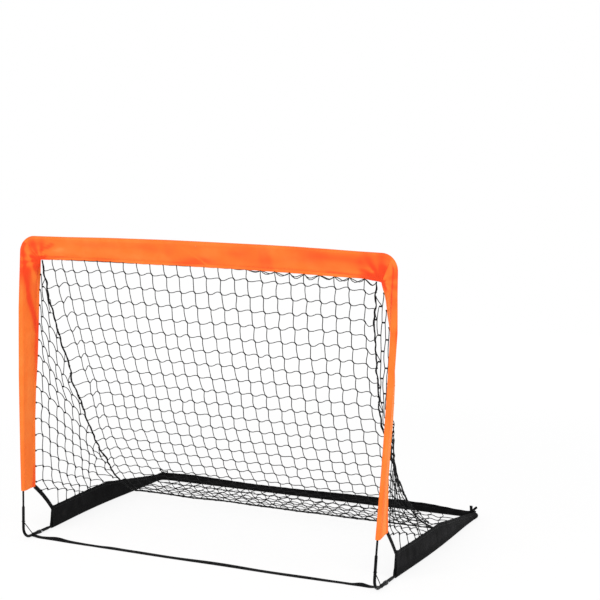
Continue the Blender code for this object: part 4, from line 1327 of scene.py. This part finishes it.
def knotted_tail(root):
    """A tail that ends in a round knot."""
    path, tail = cord_tail(root, KNOT_TAIL)
    end, along = path[-1], (path[-1] - path[-2]).normalized()
    stations = [end + along * (KNOT_HALF * math.cos(math.pi * (1 - k / 8))) for k in range(9)]
    radii = [0.0004 + 0.0028 * math.sin(math.pi * k / 8) for k in range(9)]
    return [tail, cord("knot", stations, radii, ELASTIC)]


def ribbon_tails(root):
    """Two short ends of flat ribbon."""
    parts = []
    for tail, half in RIBBONS:
        path = curve_between(root - UP * 0.003, root + tail * 0.5 + UP * 0.001, root + tail, 8)
        across = tail.cross(Vector((0.25, 1, 0.1))).normalized() * half
        parts.append(tape("tail", path, [across] * len(path), 0.0012))
    return parts


def eyelet(name, centre, axis):
    rings = [circle(centre + axis * h, axis, X, radius, 20) for h, radius in EYELET_SECTION]
    lining = [circle(centre + axis * h, axis, X, EYELET_BORE, 20) for h, _ in EYELET_SECTION]
    made = rings_mesh(f"corner_eyelet_{name}", rings, STEEL, lining)
    ride_all([made], f"base_{name}")
    return made


def corner_tie(name, side):
    corner = rear_arc(side)[ARC_STEPS // 2]
    root = corner + skirt_web(side, corner.y + DEPTH / 2) + UP * 0.0012
    if side == LEFT:
        parts = toggle_tail(root) + knotted_tail(root)
    else:
        eyelet(name, corner + EYELET_PLACE + EYELET_FACING * EYELET_OUT, EYELET_FACING)
        parts = ribbon_tails(root)
    made = join(f"corner_cord_{name}", parts)
    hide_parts(f"corner_tie_{name}")
    ride_all([made], f"base_{name}")
    return made


for side_name, side in SIDES:
    print(corner_tie(side_name, side).name)

# %% [markdown]
# ## Geometry Nodes for what repeats
# The net is hundreds of short cords between short joints, and each seam is hundreds of stitches.
# Both follow a rule, so a tree makes each of them from a guide: a mesh of plain edges that says only
# where the cords run. The tree's inputs hold the sizes, and its result is kept as a plain mesh.


# %% A tree with named inputs
class Maker(Tree):
    """A Geometry Nodes tree that makes one piece from a guide mesh."""

    def __init__(self, name, inputs):
        self.group = bpy.data.node_groups.new(name, "GeometryNodeTree")
        super().__init__(self.group)
        face = self.group.interface
        face.new_socket("Guide", in_out="INPUT", socket_type="NodeSocketGeometry")
        self.identifiers = {}
        for title, (kind, value) in inputs.items():
            made = face.new_socket(title, in_out="INPUT", socket_type=f"NodeSocket{kind}")
            if value is not None:
                made.default_value = value
            self.identifiers[title] = made.identifier
        face.new_socket("Result", in_out="OUTPUT", socket_type="NodeSocketGeometry")
        self.given = self.node("NodeGroupInput")

    def attribute(self, name, kind="FLOAT"):
        return self.node("GeometryNodeInputNamedAttribute", {"data_type": kind}, {"Name": name}, "Attribute")

    def store(self, geometry, name, value):
        settings = {"data_type": "FLOAT", "domain": "POINT"}
        values = {"Geometry": geometry, "Name": name, "Value": value}
        return self.node("GeometryNodeStoreNamedAttribute", settings, values)

    def end(self, geometry):
        real = self.node("GeometryNodeRealizeInstances", values={0: geometry})
        soft = self.node("GeometryNodeSetShadeSmooth", values={0: real})
        values = {"Geometry": soft, "Material": self.given.out("Finish")}
        done = self.node("GeometryNodeSetMaterial", values=values)
        result = self.group.nodes.new("NodeGroupOutput")
        self.feed(result.inputs["Result"], done)

    def run(self, name, guide, **values):
        """Runs the tree on a guide mesh, and keeps what it makes as a plain mesh."""
        holder = bpy.data.objects.new(f"{name}_guide", guide)
        scene.collection.objects.link(holder)
        modifier = holder.modifiers.new("maker", "NODES")
        modifier.node_group = self.group
        for title, value in values.items():
            modifier[self.identifiers[title.replace("_", " ")]] = value
        graph = bpy.context.evaluated_depsgraph_get()
        evaluated = holder.evaluated_get(graph)
        mesh = bpy.data.meshes.new_from_object(evaluated, preserve_all_data_layers=True, depsgraph=graph)
        holder.modifiers.remove(modifier)
        bpy.data.objects.remove(holder)
        mesh.name = name
        made = bpy.data.objects.new(name, mesh)
        scene.collection.objects.link(made)
        return made


# %% [markdown]
# ## Seams
# Every hem is sewn with one line of stitches on each face. A tree walks along a guide line, and at even
# steps it puts a thin grain of thread that lies along the line. The guide follows the groove that the
# hem's edge leaves in the cloth, so the stitches sit in it. Where bar tacks hold the net's border to
# the crossbar, the guide is a zigzag.

# %% The stitch tree
STITCH_PITCH, STITCH_LENGTH, STITCH_THICKNESS = 0.0046, 0.0032, 0.00036


def stitch_tree():
    inputs = {
        "Pitch": ("Float", STITCH_PITCH),
        "Length": ("Float", STITCH_LENGTH),
        "Thickness": ("Float", STITCH_THICKNESS),
        "Finish": ("Material", None),
    }
    tree = Maker("stitches", inputs)
    lines = tree.node("GeometryNodeMeshToCurve", values={"Mesh": tree.given.out("Guide")})
    values = {"Curve": lines, "Length": tree.given.out("Pitch")}
    spots = tree.node("GeometryNodeResampleCurve", {"mode": "LENGTH"}, values)
    ball = {"Segments": 6, "Rings": 4, "Radius": 1.0}
    grain = tree.node("GeometryNodeMeshUVSphere", values=ball, output="Mesh")
    way = tree.node("GeometryNodeInputTangent")
    turned = tree.node("FunctionNodeAlignRotationToVector", {"axis": "Z"}, {"Vector": way})
    thin = tree.given.out("Thickness")
    size = tree.node("ShaderNodeCombineXYZ", values={0: thin, 1: thin, 2: tree.given.out("Length") * 0.5})
    laid = {"Points": spots, "Instance": grain, "Rotation": turned, "Scale": size}
    tree.end(tree.node("GeometryNodeInstanceOnPoints", values=laid))
    return tree


STITCH_MAKER = stitch_tree()


# A sleeve's ring of points starts at the hem's edge, and these places are on its two faces.
EDGES, GROOVES = (1, -2), (4, -5)


def skin_lines(cloth, places, steps=WEB_STEPS):
    """Lines of points along a sleeve's outer skin, one for each place in its ring of points."""
    sides = len(sleeve_section(POST_WEB, steps)[0])
    count = len(cloth.data.vertices) // (2 * sides)
    skin = [vertex.co.copy() for vertex in cloth.data.vertices[: count * sides]]
    return [skin[place % sides :: sides] for place in places]


def hem_lines(cloth, steps=WEB_STEPS):
    """The two grooves beside a sleeve's hem."""
    return [line[2:-2] for line in skin_lines(cloth, GROOVES, steps)]


def lines_mesh(lines):
    mesh = bpy.data.meshes.new("guide")
    points = [tuple(p) for line in lines for p in line]
    edges, start = [], 0
    for line in lines:
        edges += [(start + k, start + k + 1) for k in range(len(line) - 1)]
        start += len(line)
    mesh.from_pydata(points, edges, [])
    return mesh


def stitches(name, lines, thread, slot, **values):
    made = STITCH_MAKER.run(name, lines_mesh(lines), Finish=thread, **values)
    return made


for side_name, side in SIDES:
    sewn = stitches(f"post_stitches_{side_name}", hem_lines(POST_CLOTH[side]), ORANGE_THREAD, "orange_oxford")
    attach(sewn, f"frame_{side_name}")
    skirt, band = BASE_CLOTH[side]
    sewn = stitches(f"skirt_stitches_{side_name}", hem_lines(skirt), BLACK_THREAD, "black_oxford")
    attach(sewn, f"base_{side_name}")
    crumple(sewn)
    sewn = stitches(f"rear_stitches_{side_name}", hem_lines(band, BAND_STEPS), BLACK_THREAD, "black_oxford")
    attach(sewn, f"base_{side_name}")
sewn = stitches("crossbar_stitches", hem_lines(BAR_CLOTH), ORANGE_THREAD, "orange_oxford")
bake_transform(sewn)

# %% Bar tacks on the crossbar's hem
TACKS = ((0.150, 0.190), (0.460, 0.520))
TACK_SIZES = {"Pitch": 0.0018, "Length": 0.0024, "Thickness": 0.00045}


def tack_lines():
    """A zigzag between the hem's edge and its groove, on the face that is seen from the front."""
    faces = list(zip(skin_lines(BAR_CLOTH, EDGES), skin_lines(BAR_CLOTH, GROOVES)))
    groove, middle = faces[0][1], len(faces[0][1]) // 2
    pair = min(faces, key=lambda face: face[1][middle].y)
    lines = []
    for low, high in TACKS:
        inside = [i for i, point in enumerate(groove) if low <= point.x <= high]
        lines.append([pair[i % 2][i] - BACK * 0.0002 for i in inside])
    return lines


tacked = stitches("crossbar_tacks", tack_lines(), ORANGE_THREAD, "orange_oxford", **TACK_SIZES)
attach(tacked, "frame_right")
print(tacked.name, len(tacked.data.polygons), "faces")

# %% [markdown]
# ## The net
# A knotless net is braided from pairs of cords that pass through each other. At each crossing the
# two cords run together for a few millimetres, which shows as a short thick joint, so every gap has
# six sides. The net is cut square and hangs slack, so the cords that run across are longer than the
# room they have, and lie in waves.

# %% The twine tree
TWINE_RADIUS, JOINT_RADIUS, JOINT_SWELL, JOINT_STEPS = 0.00122, 0.0020, 0.45, 5


def strands(tree, cords, radius, swell, steps):
    """Round cords of a guide's edges, shaped by the attributes bow, swing and girth."""
    lines = tree.node("GeometryNodeMeshToCurve", values={"Mesh": cords})
    lines = tree.node("GeometryNodeResampleCurve", values={"Curve": lines, "Count": steps})
    share = tree.node("GeometryNodeSplineParameter", output="Factor")

    def waved(name, turn):
        values = {0: tree.attribute(name, "FLOAT_VECTOR"), "Scale": (share * turn).sine()}
        return tree.node("ShaderNodeVectorMath", {"operation": "SCALE"}, values)

    moved = tree.vector("ADD", waved("bow", math.pi), waved("swing", 2 * math.pi))
    lines = tree.node("GeometryNodeSetPosition", values={"Geometry": lines, "Offset": moved})
    lines = tree.store(lines, "along", share.out("Length"))
    girth = tree.attribute("girth") * (1 + (share * math.pi).sine() * swell)
    lines = tree.node("GeometryNodeSetCurveRadius", values={"Curve": lines, "Radius": girth})
    circle_sizes = {"Resolution": tree.given.out("Sides"), "Radius": radius}
    ring = tree.node("GeometryNodeCurvePrimitiveCircle", values=circle_sizes)
    ring = tree.store(ring, "turn", tree.node("GeometryNodeSplineParameter", output="Factor"))
    skin = {"Curve": lines, "Profile Curve": ring, "Fill Caps": True}
    return tree.node("GeometryNodeCurveToMesh", values=skin)


def twine_tree():
    inputs = {
        "Twine radius": ("Float", TWINE_RADIUS),
        "Joint radius": ("Float", JOINT_RADIUS),
        "Steps": ("Int", 7),
        "Sides": ("Int", 6),
        "Finish": ("Material", None),
    }
    tree = Maker("knotless_net", inputs)
    values = {"Geometry": tree.given.out("Guide"), "Selection": tree.attribute("joint")}
    split = tree.node("GeometryNodeSeparateGeometry", {"domain": "EDGE"}, values)
    cords = strands(tree, split.out("Inverted"), tree.given.out("Twine radius"), 0.0, tree.given.out("Steps"))
    joints = strands(tree, split.out("Selection"), tree.given.out("Joint radius"), JOINT_SWELL, JOINT_STEPS)
    both = tree.node("GeometryNodeJoinGeometry")
    for geometry in (joints, cords):
        tree.feed(both.socket.node.inputs[0], geometry)
    tree.end(both)
    return tree


NET_MAKER = twine_tree()
print("net tree nodes:", len(NET_MAKER.group.nodes))


# %% A guide of separate edges
class Guide:
    """Collects the net's cords and joints. Each edge has its own two points, so each is one cord."""

    def __init__(self):
        self.points, self.bows, self.swings, self.girths, self.joints = [], [], [], [], []

    def run(self, one, two, bow=Vector(), swing=Vector(), girth=1.0, joint=0.0):
        self.points += [one, two]
        self.bows += [bow, bow]
        self.swings += [swing, swing]
        self.girths += [girth, girth]
        self.joints.append(joint)

    def mesh(self):
        mesh = bpy.data.meshes.new("guide")
        count = len(self.points)
        mesh.from_pydata([tuple(p) for p in self.points], [(k, k + 1) for k in range(0, count, 2)], [])
        for title, values in (("bow", self.bows), ("swing", self.swings)):
            made = mesh.attributes.new(title, "FLOAT_VECTOR", "POINT")
            made.data.foreach_set("vector", np.array([tuple(v) for v in values], np.float32).ravel())
        for title, domain, values in (("girth", "POINT", self.girths), ("joint", "EDGE", self.joints)):
            made = mesh.attributes.new(title, "FLOAT", domain)
            made.data.foreach_set("value", np.array(values, np.float32))
        return mesh


def triangles(piece):
    return sum(len(face.vertices) - 2 for face in piece.data.polygons)


# %% The lines the net hangs in
MESH = 0.045
# The net's side view is one curve, drawn from the hem towards these two places and on to the floor.
PROFILE_TOP, PROFILE_FLOOR = (0.150, 0.500), (0.330, 0.060)
# How far from the middle each seam is, at a row of heights.
SEAM_AT = (0.011, 0.031, 0.058, 0.091, 0.130, 0.175, 0.224, 0.278, 0.335)
SEAM_AT += (0.395, 0.458, 0.522, 0.587, 0.652, 0.718, 0.783, 0.845)
SEAM_LEFT = (0.557, 0.539, 0.530, 0.5275, 0.524, 0.511, 0.519, 0.514, 0.5185)
SEAM_LEFT += (0.513, 0.527, 0.5185, 0.531, 0.535, 0.544, 0.5475, 0.550)
SEAM_RIGHT = (0.557, 0.539, 0.525, 0.517, 0.514, 0.5155, 0.5145, 0.511, 0.506)
SEAM_RIGHT += (0.502, 0.502, 0.509, 0.5135, 0.517, 0.519, 0.529, 0.5355)
SEAM_X = {LEFT: (SEAM_AT, SEAM_LEFT), RIGHT: (SEAM_AT, SEAM_RIGHT)}


def net_profile(share):
    """Set-back and height of the hanging net, from the crossbar's hem at 0 to the floor at 1."""
    start = bar_hem(0) - UP * read(BAR_HEM, 0)
    hung = (start.y + DEPTH / 2 + 0.0003, start.z - 0.0012)
    points = [hung, PROFILE_TOP, PROFILE_FLOOR, (NET_FLOOR, NET_LIFT)]
    rest = 1 - share
    factors = (rest**3, 3 * rest**2 * share, 3 * rest * share**2, share**3)
    return [sum(f * p[k] for f, p in zip(factors, points)) for k in (0, 1)]


SHARES = [k / 400 for k in range(401)]
LENGTHS = travelled([Vector((0, *net_profile(s))) for s in SHARES])
NET_LENGTH = LENGTHS[-1]


def hang(distance):
    """Set-back and height of the net at a distance below the crossbar's hem."""
    return net_profile(float(np.interp(distance, LENGTHS, SHARES)))


def net_place(x, distance):
    """A point of the back net. Its top follows the crossbar's uneven hem."""
    setback, height = hang(distance)
    return at(x, setback, height + read(BAR_HEM, x) * (1 - smooth(distance / 0.25)))


def down_at(distance):
    one, two = hang(max(distance - 0.004, 0)), hang(min(distance + 0.004, NET_LENGTH))
    return Vector((0, two[0] - one[0], two[1] - one[1])).normalized()


def seam_line(side):
    """The line where the back net meets a side net, from the inner corner to the floor."""
    spots = [(side * read(SEAM_X[side], net_profile(s)[1]), length) for s, length in zip(SHARES, LENGTHS)]
    return [net_place(x, length) for x, length in spots[::4]]


def level(line, height):
    """The point of a falling line at a height, or the line's nearest end."""
    zs, xs, ys = zip(*sorted((p.z, p.x, p.y) for p in line))
    return Vector((read((zs, xs), height), read((zs, ys), height), min(max(height, zs[0]), zs[-1])))


print("net hangs over", round(NET_LENGTH, 3), "m,", round(NET_LENGTH / MESH, 1), "meshes")

# %% [markdown]
# The back net's columns keep their mesh in the middle. The slack gathers at the sides, so the first
# columns on the left and the last on the right lie closer, and their rows sag to the seam. Small
# random steps, always drawn in the same order from one seed, keep the gaps from looking ruled.

# %% The back net
COLUMNS = 25
COLUMN_AT = (0.02, 0.175, 0.458, 0.650, 0.845)
COLUMN_X = {
    1: (-0.498, -0.487, -0.462, -0.486, -0.5135),
    2: (-0.455, -0.443, -0.436, -0.452, -0.478),
    3: (-0.412, -0.401, -0.391, -0.414, -0.443),
    24: (0.478, 0.476, 0.481, 0.490, 0.502),
}
COLUMN_LAG = {0: 0.026, 1: 0.010, 24: 0.004, 25: 0.014}
NARROW = {1: -0.0100, 24: 0.0090}
FIRST_ROW, FULL_ROWS = 0.030, 23
BORDER_GIRTH, HITCH_GIRTH = 1.5, 1.25
ROWS = [0.0] + [FIRST_ROW + MESH * k for k in range(FULL_ROWS)] + [NET_LENGTH]
JOINT_ACROSS, JOINT_DOWN, JITTER = 0.0021, 0.0031, 0.0022
chance = random.Random(5)


def column_x(column, height):
    if column in (0, COLUMNS):
        side = RIGHT if column else LEFT
        return side * read(SEAM_X[side], height)
    known = [read((COLUMN_AT, places), height) for places in COLUMN_X.values()]
    return read((list(COLUMN_X), known), column)


def joint_ends(centre, down):
    """The upper left and the lower right end of a joint that lies in the net's surface."""
    reach = X * JOINT_ACROSS + down * JOINT_DOWN
    return centre - reach, centre + reach


def back_joints():
    joints = {}
    for j, distance in enumerate(ROWS):
        for i in range(COLUMNS + 1):
            edge = i in (0, COLUMNS) or j in (0, len(ROWS) - 1)
            loose = 0 if edge else 1
            lag = distance + loose * chance.uniform(-JITTER, JITTER)
            if 0 < j < len(ROWS) - 2:
                lag += COLUMN_LAG.get(i, 0.0) * smooth(distance / 0.15)
            place = net_place(column_x(i, hang(lag)[1]) + loose * chance.uniform(-JITTER, JITTER), lag)
            billow = noise.noise(Vector((i * 0.31, j * 0.27, 2.0)))
            place += Vector((0, 1, 0.4)) * (loose * 0.0035 * billow)
            if j == 0 and 0 < i < COLUMNS:
                place = place - down_at(0) * 0.003
            joints[i, j] = (place, place) if edge else joint_ends(place, down_at(distance))
    return joints


def run_across(guides, one, two, bow, swing, girth=1.0):
    """A cord of a row. One that crosses the middle is cut there, because the goal folds in it."""
    if one.x * two.x >= 0:
        guides[LEFT if one.x + two.x < 0 else RIGHT].run(one, two, bow, swing, girth)
        return
    middle = one.lerp(two, one.x / (one.x - two.x))
    guides[LEFT].run(one, middle, swing, girth=girth)
    guides[RIGHT].run(middle, two, -swing, girth=girth)


def back_guides():
    joints = back_joints()
    guides = {LEFT: Guide(), RIGHT: Guide()}
    last = len(ROWS) - 1
    for (i, j), (upper, lower) in joints.items():
        guide = guides[LEFT if upper.x < 0 else RIGHT]
        if 0 < i < COLUMNS and 0 < j < last:
            guide.run(upper, lower, joint=1.0)
        if 0 < i < COLUMNS and j < last:
            below = joints[i, j + 1][0]
            bow = X * (-0.0013 * chance.uniform(0.2, 1.5)) + BACK * 0.0015 * chance.uniform(-1, 1)
            guide.run(lower, below, bow, X * (0.0007 * chance.uniform(-1, 1)))
        if i < COLUMNS and 0 < j < last:
            slack = 0.0019 * chance.uniform(0.5, 1.5)
            sag = NARROW.get(i, 0.0) * (1 - j / (FULL_ROWS - 1)) * chance.uniform(0.2, 1.2)
            sag += 0.0008 * chance.uniform(-0.6, 1.4)
            down = down_at(ROWS[j])
            run_across(guides, lower, joints[i + 1, j][0], down * sag, down * slack)
    return guides, joints


def knots_on_seam(guide, points, reach):
    """The hitch that ties the net to a thicker cord or a hem."""
    for point in points:
        guide.run(point - reach, point + reach, joint=1.0, girth=HITCH_GIRTH)


def border(guides):
    """The net's top edge is a pair of cords, laced to the hem at the ties and loose between them."""
    for i in range(1, COLUMNS):
        one, two = BACK_JOINTS[i, 0][0], BACK_JOINTS[i + 1, 0][0]
        loose = smooth((one.x - 0.02) / 0.30)
        lowered = UP * 0.002 * loose
        for k in (0, 1):
            behind = Vector((0, 0.0015, 0)) * k
            sag = 0.0010 + loose * (0.0060 + 0.0045 * k) * chance.uniform(0.7, 1.3)
            swing = UP * (loose * 0.0030 * chance.choice((-1, 1)) * chance.uniform(0.5, 1.2))
            run_across(guides, one + behind - lowered, two + behind - lowered, UP * -sag, swing, BORDER_GIRTH)


BACK_GUIDES, BACK_JOINTS = back_guides()
border(BACK_GUIDES)
for side, column in ((LEFT, 0), (RIGHT, COLUMNS)):
    ties = [BACK_JOINTS[column, j][0] for j in range(1, len(ROWS) - 1)]
    knots_on_seam(BACK_GUIDES[side], ties, Vector((0.0022, 0, 0.0012)))
    hung = [BACK_JOINTS[i, 0][0] for i in range(1, COLUMNS)]
    knots_on_seam(BACK_GUIDES[side], [p for p in hung if p.x * side > 0], Vector((0.0004, 0, 0.0022)))
for side_name, side in SIDES:
    net = NET_MAKER.run(f"back_mesh_{side_name}", BACK_GUIDES[side].mesh(), Finish=TWINE)
    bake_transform(net)
    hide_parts(f"back_net_{side_name}")
    print(net.name, "triangles:", triangles(net))

# %% [markdown]
# Each side net is tied to the post's hem at even steps. It fills the surface between the hem and the
# seam, and a joint's place in it is a share of the way from one to the other. High up the seam is
# near, so there the rows fall steeply and end after a few joints. Low down they run nearly level.

# %% The side nets
SIDE_ROWS, MOST_JOINTS, FIRST_JOINT, ROW_GAP, LOW_ROW = 15, 15, 0.764, 0.0463, 0.130
# How far each row rises to its tie on the hem, falls from joint to joint, and where its joints are.
ROW_RISE = ((0, 2, 3, 5, 8, 10, 13), (0.035, 0.034, 0.023, 0.0185, 0.0135, 0.0065, 0.002))
ROW_DROP = ((0, 2, 4, 6, 8, 10, 13, 14), (0.040, 0.034, 0.0305, 0.0275, 0.0248, 0.0205, 0.0165, 0.0145))
ROW_START = ((0, 1, 2, 4, 6, 8, 10, 13), (0.46, 0.33, 0.25, 0.19, 0.185, 0.145, 0.135, 0.10))
ROW_STEP = ((0, 1, 2, 3, 4, 6, 8, 10, 13), (0.50, 0.42, 0.34, 0.27, 0.225, 0.19, 0.158, 0.122, 0.115))
ROW_FADE = ((5, 8, 10, 13), (0.05, 0.045, 0.02, 0.0))
ROW_END, LEVEL_ROWS = 0.985, 11
# The net swells outwards by height on the right, and low down it spreads to the skirt's edge.
BULGE = {
    LEFT: ((0, 1), (0, 0)),
    RIGHT: ((0.15, 0.22, 0.30, 0.38, 0.44, 0.50), (0.0, 0.006, 0.014, 0.018, 0.012, 0.0)),
}
LOW_FROM, LOW_TO, LOWEST_JOINT, OVER_SKIRT = 0.22, 0.069, 0.065, 0.009
# High up the joints lie across the bunched cords as bars.
BARRED_ROWS, BAR_HALF, SIDE_JOINT_RADIUS = 8, {LEFT: 0.0034, RIGHT: 0.0044}, 0.0025
# A cord with no joint to run to ends on the skirt or on the seam, where one is near.
SKIRT_REACH, SEAM_GAP, SEAM_REACH = 0.045, 0.07, 0.055


def front_line(side):
    """The post's hem from the inner corner to its foot, and on down the brace to the skirt."""
    hems, room = post_lines(side)[1], 0.004
    high, low = inner_corner(side).z - room, min(h.z for h in hems) - room
    return [h for h in hems if h.z < high] + [p for p in brace_path(side, 0.7) if p.z < low]


def skirt_line(side):
    setbacks = [SKIRT_START + 0.010 + 0.02 * k for k in range(30)]
    return [rail_line(side, s) + skirt_web(side, s) - UP * 0.001 for s in setbacks]


def on_skirt(skirt, y):
    """The point of the skirt's edge at a place y, or None past its ends."""
    ys, xs, zs = zip(*sorted((p.y, p.x, p.z) for p in skirt))
    if not ys[0] <= y <= ys[-1]:
        return None
    return Vector((read((ys, xs), y), y, read((ys, zs), y)))


class SideNet:
    """One side's net, laid out row by row in the surface between the post's hem and the seam."""

    def __init__(self, side):
        self.side, self.dice, self.guide = side, random.Random(31 + side), Guide()
        self.front, self.seam, self.skirt = front_line(side), seam_line(side), skirt_line(side)

    def place(self, share, height):
        """A point of the side net's surface. Low down it swells out to the skirt's edge."""
        spot = level(self.front, height).lerp(level(self.seam, height), share)
        edge = on_skirt(self.skirt, max(spot.y, self.skirt[0].y + 0.001))
        low = smooth((LOW_FROM - height) / (LOW_FROM - LOW_TO)) * min(1.0, max(0.0, (1 - share) / 0.15))
        swell = self.side * read(BULGE[self.side], height) * math.sin(math.pi * share)
        return spot + X * ((edge.x - spot.x) * low + swell)

    def row(self, number):
        """One row: where it is tied to the hem, its joints by column, and its end."""
        height = max(FIRST_JOINT - ROW_GAP * number, LOW_ROW)
        drop, start = read(ROW_DROP, number), read(ROW_START, number)
        tie = self.place(0.0, height + read(ROW_RISE, number))
        tie += (level(self.seam, tie.z) - tie).normalized() * 0.0022
        spots, share = {}, 0.0
        for column in range(1, MOST_JOINTS + 1):
            before, steps = share, column - 1
            share = start + read(ROW_STEP, number) * steps * (1 - read(ROW_FADE, number) * steps)
            z = height - drop * steps
            spot = self.place(min(share, 1.0), z)
            edge = on_skirt(self.skirt, spot.y)
            if share > ROW_END or share <= before:
                return tie, spots, level(self.seam, z + drop * 0.5)
            if z < LOWEST_JOINT or edge is not None and spot.z < edge.z + OVER_SKIRT:
                return tie, spots, edge
            spot += Vector([0.0016 * self.dice.uniform(-1, 1) for _ in range(3)])
            bar, slant = X * (-self.side * BAR_HALF[self.side]), Vector((0, 0.0012, -0.0030))
            reach = bar if number < BARRED_ROWS else slant
            spots[column] = (spot - reach, spot + reach)
        return tie, spots, None

    def cord(self, one, two, lift):
        """A cord of a row, which rises from one joint and then falls to the next."""
        away = X * self.side * (0.0010 * self.dice.uniform(-1, 1))
        self.guide.run(one, two, UP * (lift * self.dice.uniform(0.6, 1.3)) + Vector((0, 0.0015, 0)) + away)

    def hang_rows(self):
        rows, ties = [self.row(n) for n in range(SIDE_ROWS)], []
        for number, (tie, spots, end) in enumerate(rows):
            ends = [tie] if end is None else [tie, end]
            ties += ends
            chain = [(tie, tie), *spots.values(), *[(last, last) for last in ends[1:]]]
            lift = 0.0048 * read(ROW_DROP, number) / 0.03
            for k, (one, two) in enumerate(zip(chain, chain[1:])):
                self.cord(one[1], two[0], 0 if k == 0 and number > LEVEL_ROWS else lift)
            above = rows[number - 1][1] if number else {}
            below = rows[number + 1][1] if number + 1 < len(rows) else {}
            for column, (upper, lower) in spots.items():
                self.guide.run(upper, lower, joint=1.0)
                sideways, forwards = self.dice.uniform(-1, 1), self.dice.uniform(0.3, 1.2)
                bow = Vector((self.side * 0.0012 * sideways, -0.0026 * forwards, 0))
                if column in below:
                    away = upper if number < BARRED_ROWS else lower
                    self.guide.run(away, below[column][1 if number + 1 < BARRED_ROWS else 0], bow)
                else:
                    edge = on_skirt(self.skirt, lower.y + 0.004)
                    open_side = (level(self.seam, lower.z) - lower).length > SEAM_GAP
                    if edge is not None and open_side and 0.004 < lower.z - edge.z < SKIRT_REACH:
                        self.guide.run(lower, edge, bow)
                        ties.append(edge)
                if column not in above:
                    edge = level(self.seam, upper.z + 0.026)
                    if (edge - upper).length < SEAM_REACH:
                        self.guide.run(edge, upper, bow)
                        ties.append(edge)
        knots_on_seam(self.guide, ties, Vector((0, 0.0014, -0.0016)))
        return self.guide


for side_name, side in SIDES:
    guide = SideNet(side).hang_rows().mesh()
    net = NET_MAKER.run(f"side_mesh_{side_name}", guide, Joint_radius=SIDE_JOINT_RADIUS, Finish=TWINE)
    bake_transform(net)
    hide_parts(f"side_net_{side_name}")
    print(net.name, "triangles:", triangles(net))

# %% The net on the floor
FLOOR_END = DEPTH - SLEEVE_RADIUS
FLOOR_ROWS, FLOOR_JITTER = 4, 0.004
LEAST_LIFT, END_LIFT = 0.0016, 0.004


def floor_joints():
    """The floor net starts on the back net's last row, and its other rows are as wide as the base."""
    spots, last = {}, len(ROWS) - 1
    for k in range(FLOOR_ROWS + 1):
        share = k / FLOOR_ROWS
        wide = abs(rail_point(RIGHT, NET_FLOOR).x) - 0.004 - (REAR_BEND - 0.012) * share**3
        stretch = 1 + (wide / abs(BACK_JOINTS[0, last][0].x) - 1) * (1.0 if k else 0.0)
        setback = NET_FLOOR + (FLOOR_END - NET_FLOOR) * share
        for i in range(COLUMNS + 1):
            loose = 0 if k in (0, FLOOR_ROWS) or i in (0, COLUMNS) else 1
            x = BACK_JOINTS[i, last][0].x * stretch + loose * chance.uniform(-FLOOR_JITTER, FLOOR_JITTER)
            y = setback + loose * chance.uniform(-FLOOR_JITTER, FLOOR_JITTER)
            place = at(x, y, NET_LIFT + loose * chance.uniform(-0.001, 0.0022))
            place.z = max(place.z, LEAST_LIFT) + END_LIFT * (k == FLOOR_ROWS)
            reach = Vector((JOINT_ACROSS, JOINT_DOWN, 0)) * loose
            spots[i, k] = (place - reach, place + reach)
    return spots


def floor_guides():
    guides, spots = {LEFT: Guide(), RIGHT: Guide()}, floor_joints()
    for (i, k), (upper, lower) in spots.items():
        guide = guides[LEFT if upper.x < 0 else RIGHT]
        if 0 < i < COLUMNS and 0 < k < FLOOR_ROWS:
            guide.run(upper, lower, joint=1.0)
        if 0 < i < COLUMNS and k < FLOOR_ROWS:
            bow, swing = X * (0.004 * chance.uniform(-1, 1)), X * (0.003 * chance.uniform(-1, 1))
            guide.run(lower, spots[i, k + 1][0], bow, swing)
        if i < COLUMNS and k < FLOOR_ROWS:
            slack = Vector((0, 0.0035 * chance.uniform(0.4, 1.5), 0.0006))
            bow, girth = Vector((0, 0.002 * chance.uniform(-1, 1), 0)), 1.0 if k else BORDER_GIRTH
            run_across(guides, lower, spots[i + 1, k][0], bow, slack, girth)
    return guides


FLOOR_GUIDES = floor_guides()
for side_name, side in SIDES:
    net = NET_MAKER.run(f"floor_mesh_{side_name}", FLOOR_GUIDES[side].mesh(), Finish=TWINE)
    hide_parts(f"floor_net_{side_name}")
    ride_all([net], f"base_{side_name}")
    print(net.name, "triangles:", triangles(net))

# %% The cords between the back net and the side nets
SEAM_CORD, SEAM_WANDER, SEAM_UNEVEN = {LEFT: 0.0026, RIGHT: 0.0023}, 0.0060, 0.4


def seam_cord(name, side):
    """The cord wanders about its line, and is uneven, because the net's edge is wound round it."""
    path = []
    for k, point in enumerate(fill_in(seam_line(side), 0.009)):
        sideways, back = [noise.noise(Vector((k * 0.19, side, seed))) for seed in (0, 5)]
        path.append(point + Vector((sideways, 0.6 * back, 0)) * SEAM_WANDER * smooth(k / 6))
    path = [p for p in path if p.z > 0.0045] + [Vector((path[-1].x, path[-1].y, 0.0030))]
    lumps = [noise.noise(Vector((k * 0.35, side, 9))) for k in range(len(path))]
    radii = [SEAM_CORD[side] * (1 + SEAM_UNEVEN * lump) for lump in lumps]
    made = cord(f"seam_cord_{name}", path, radii, ELASTIC)
    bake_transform(made)
    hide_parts(f"net_seam_cord_{name}")
    return made


for side_name, side in SIDES:
    print(seam_cord(side_name, side).name)
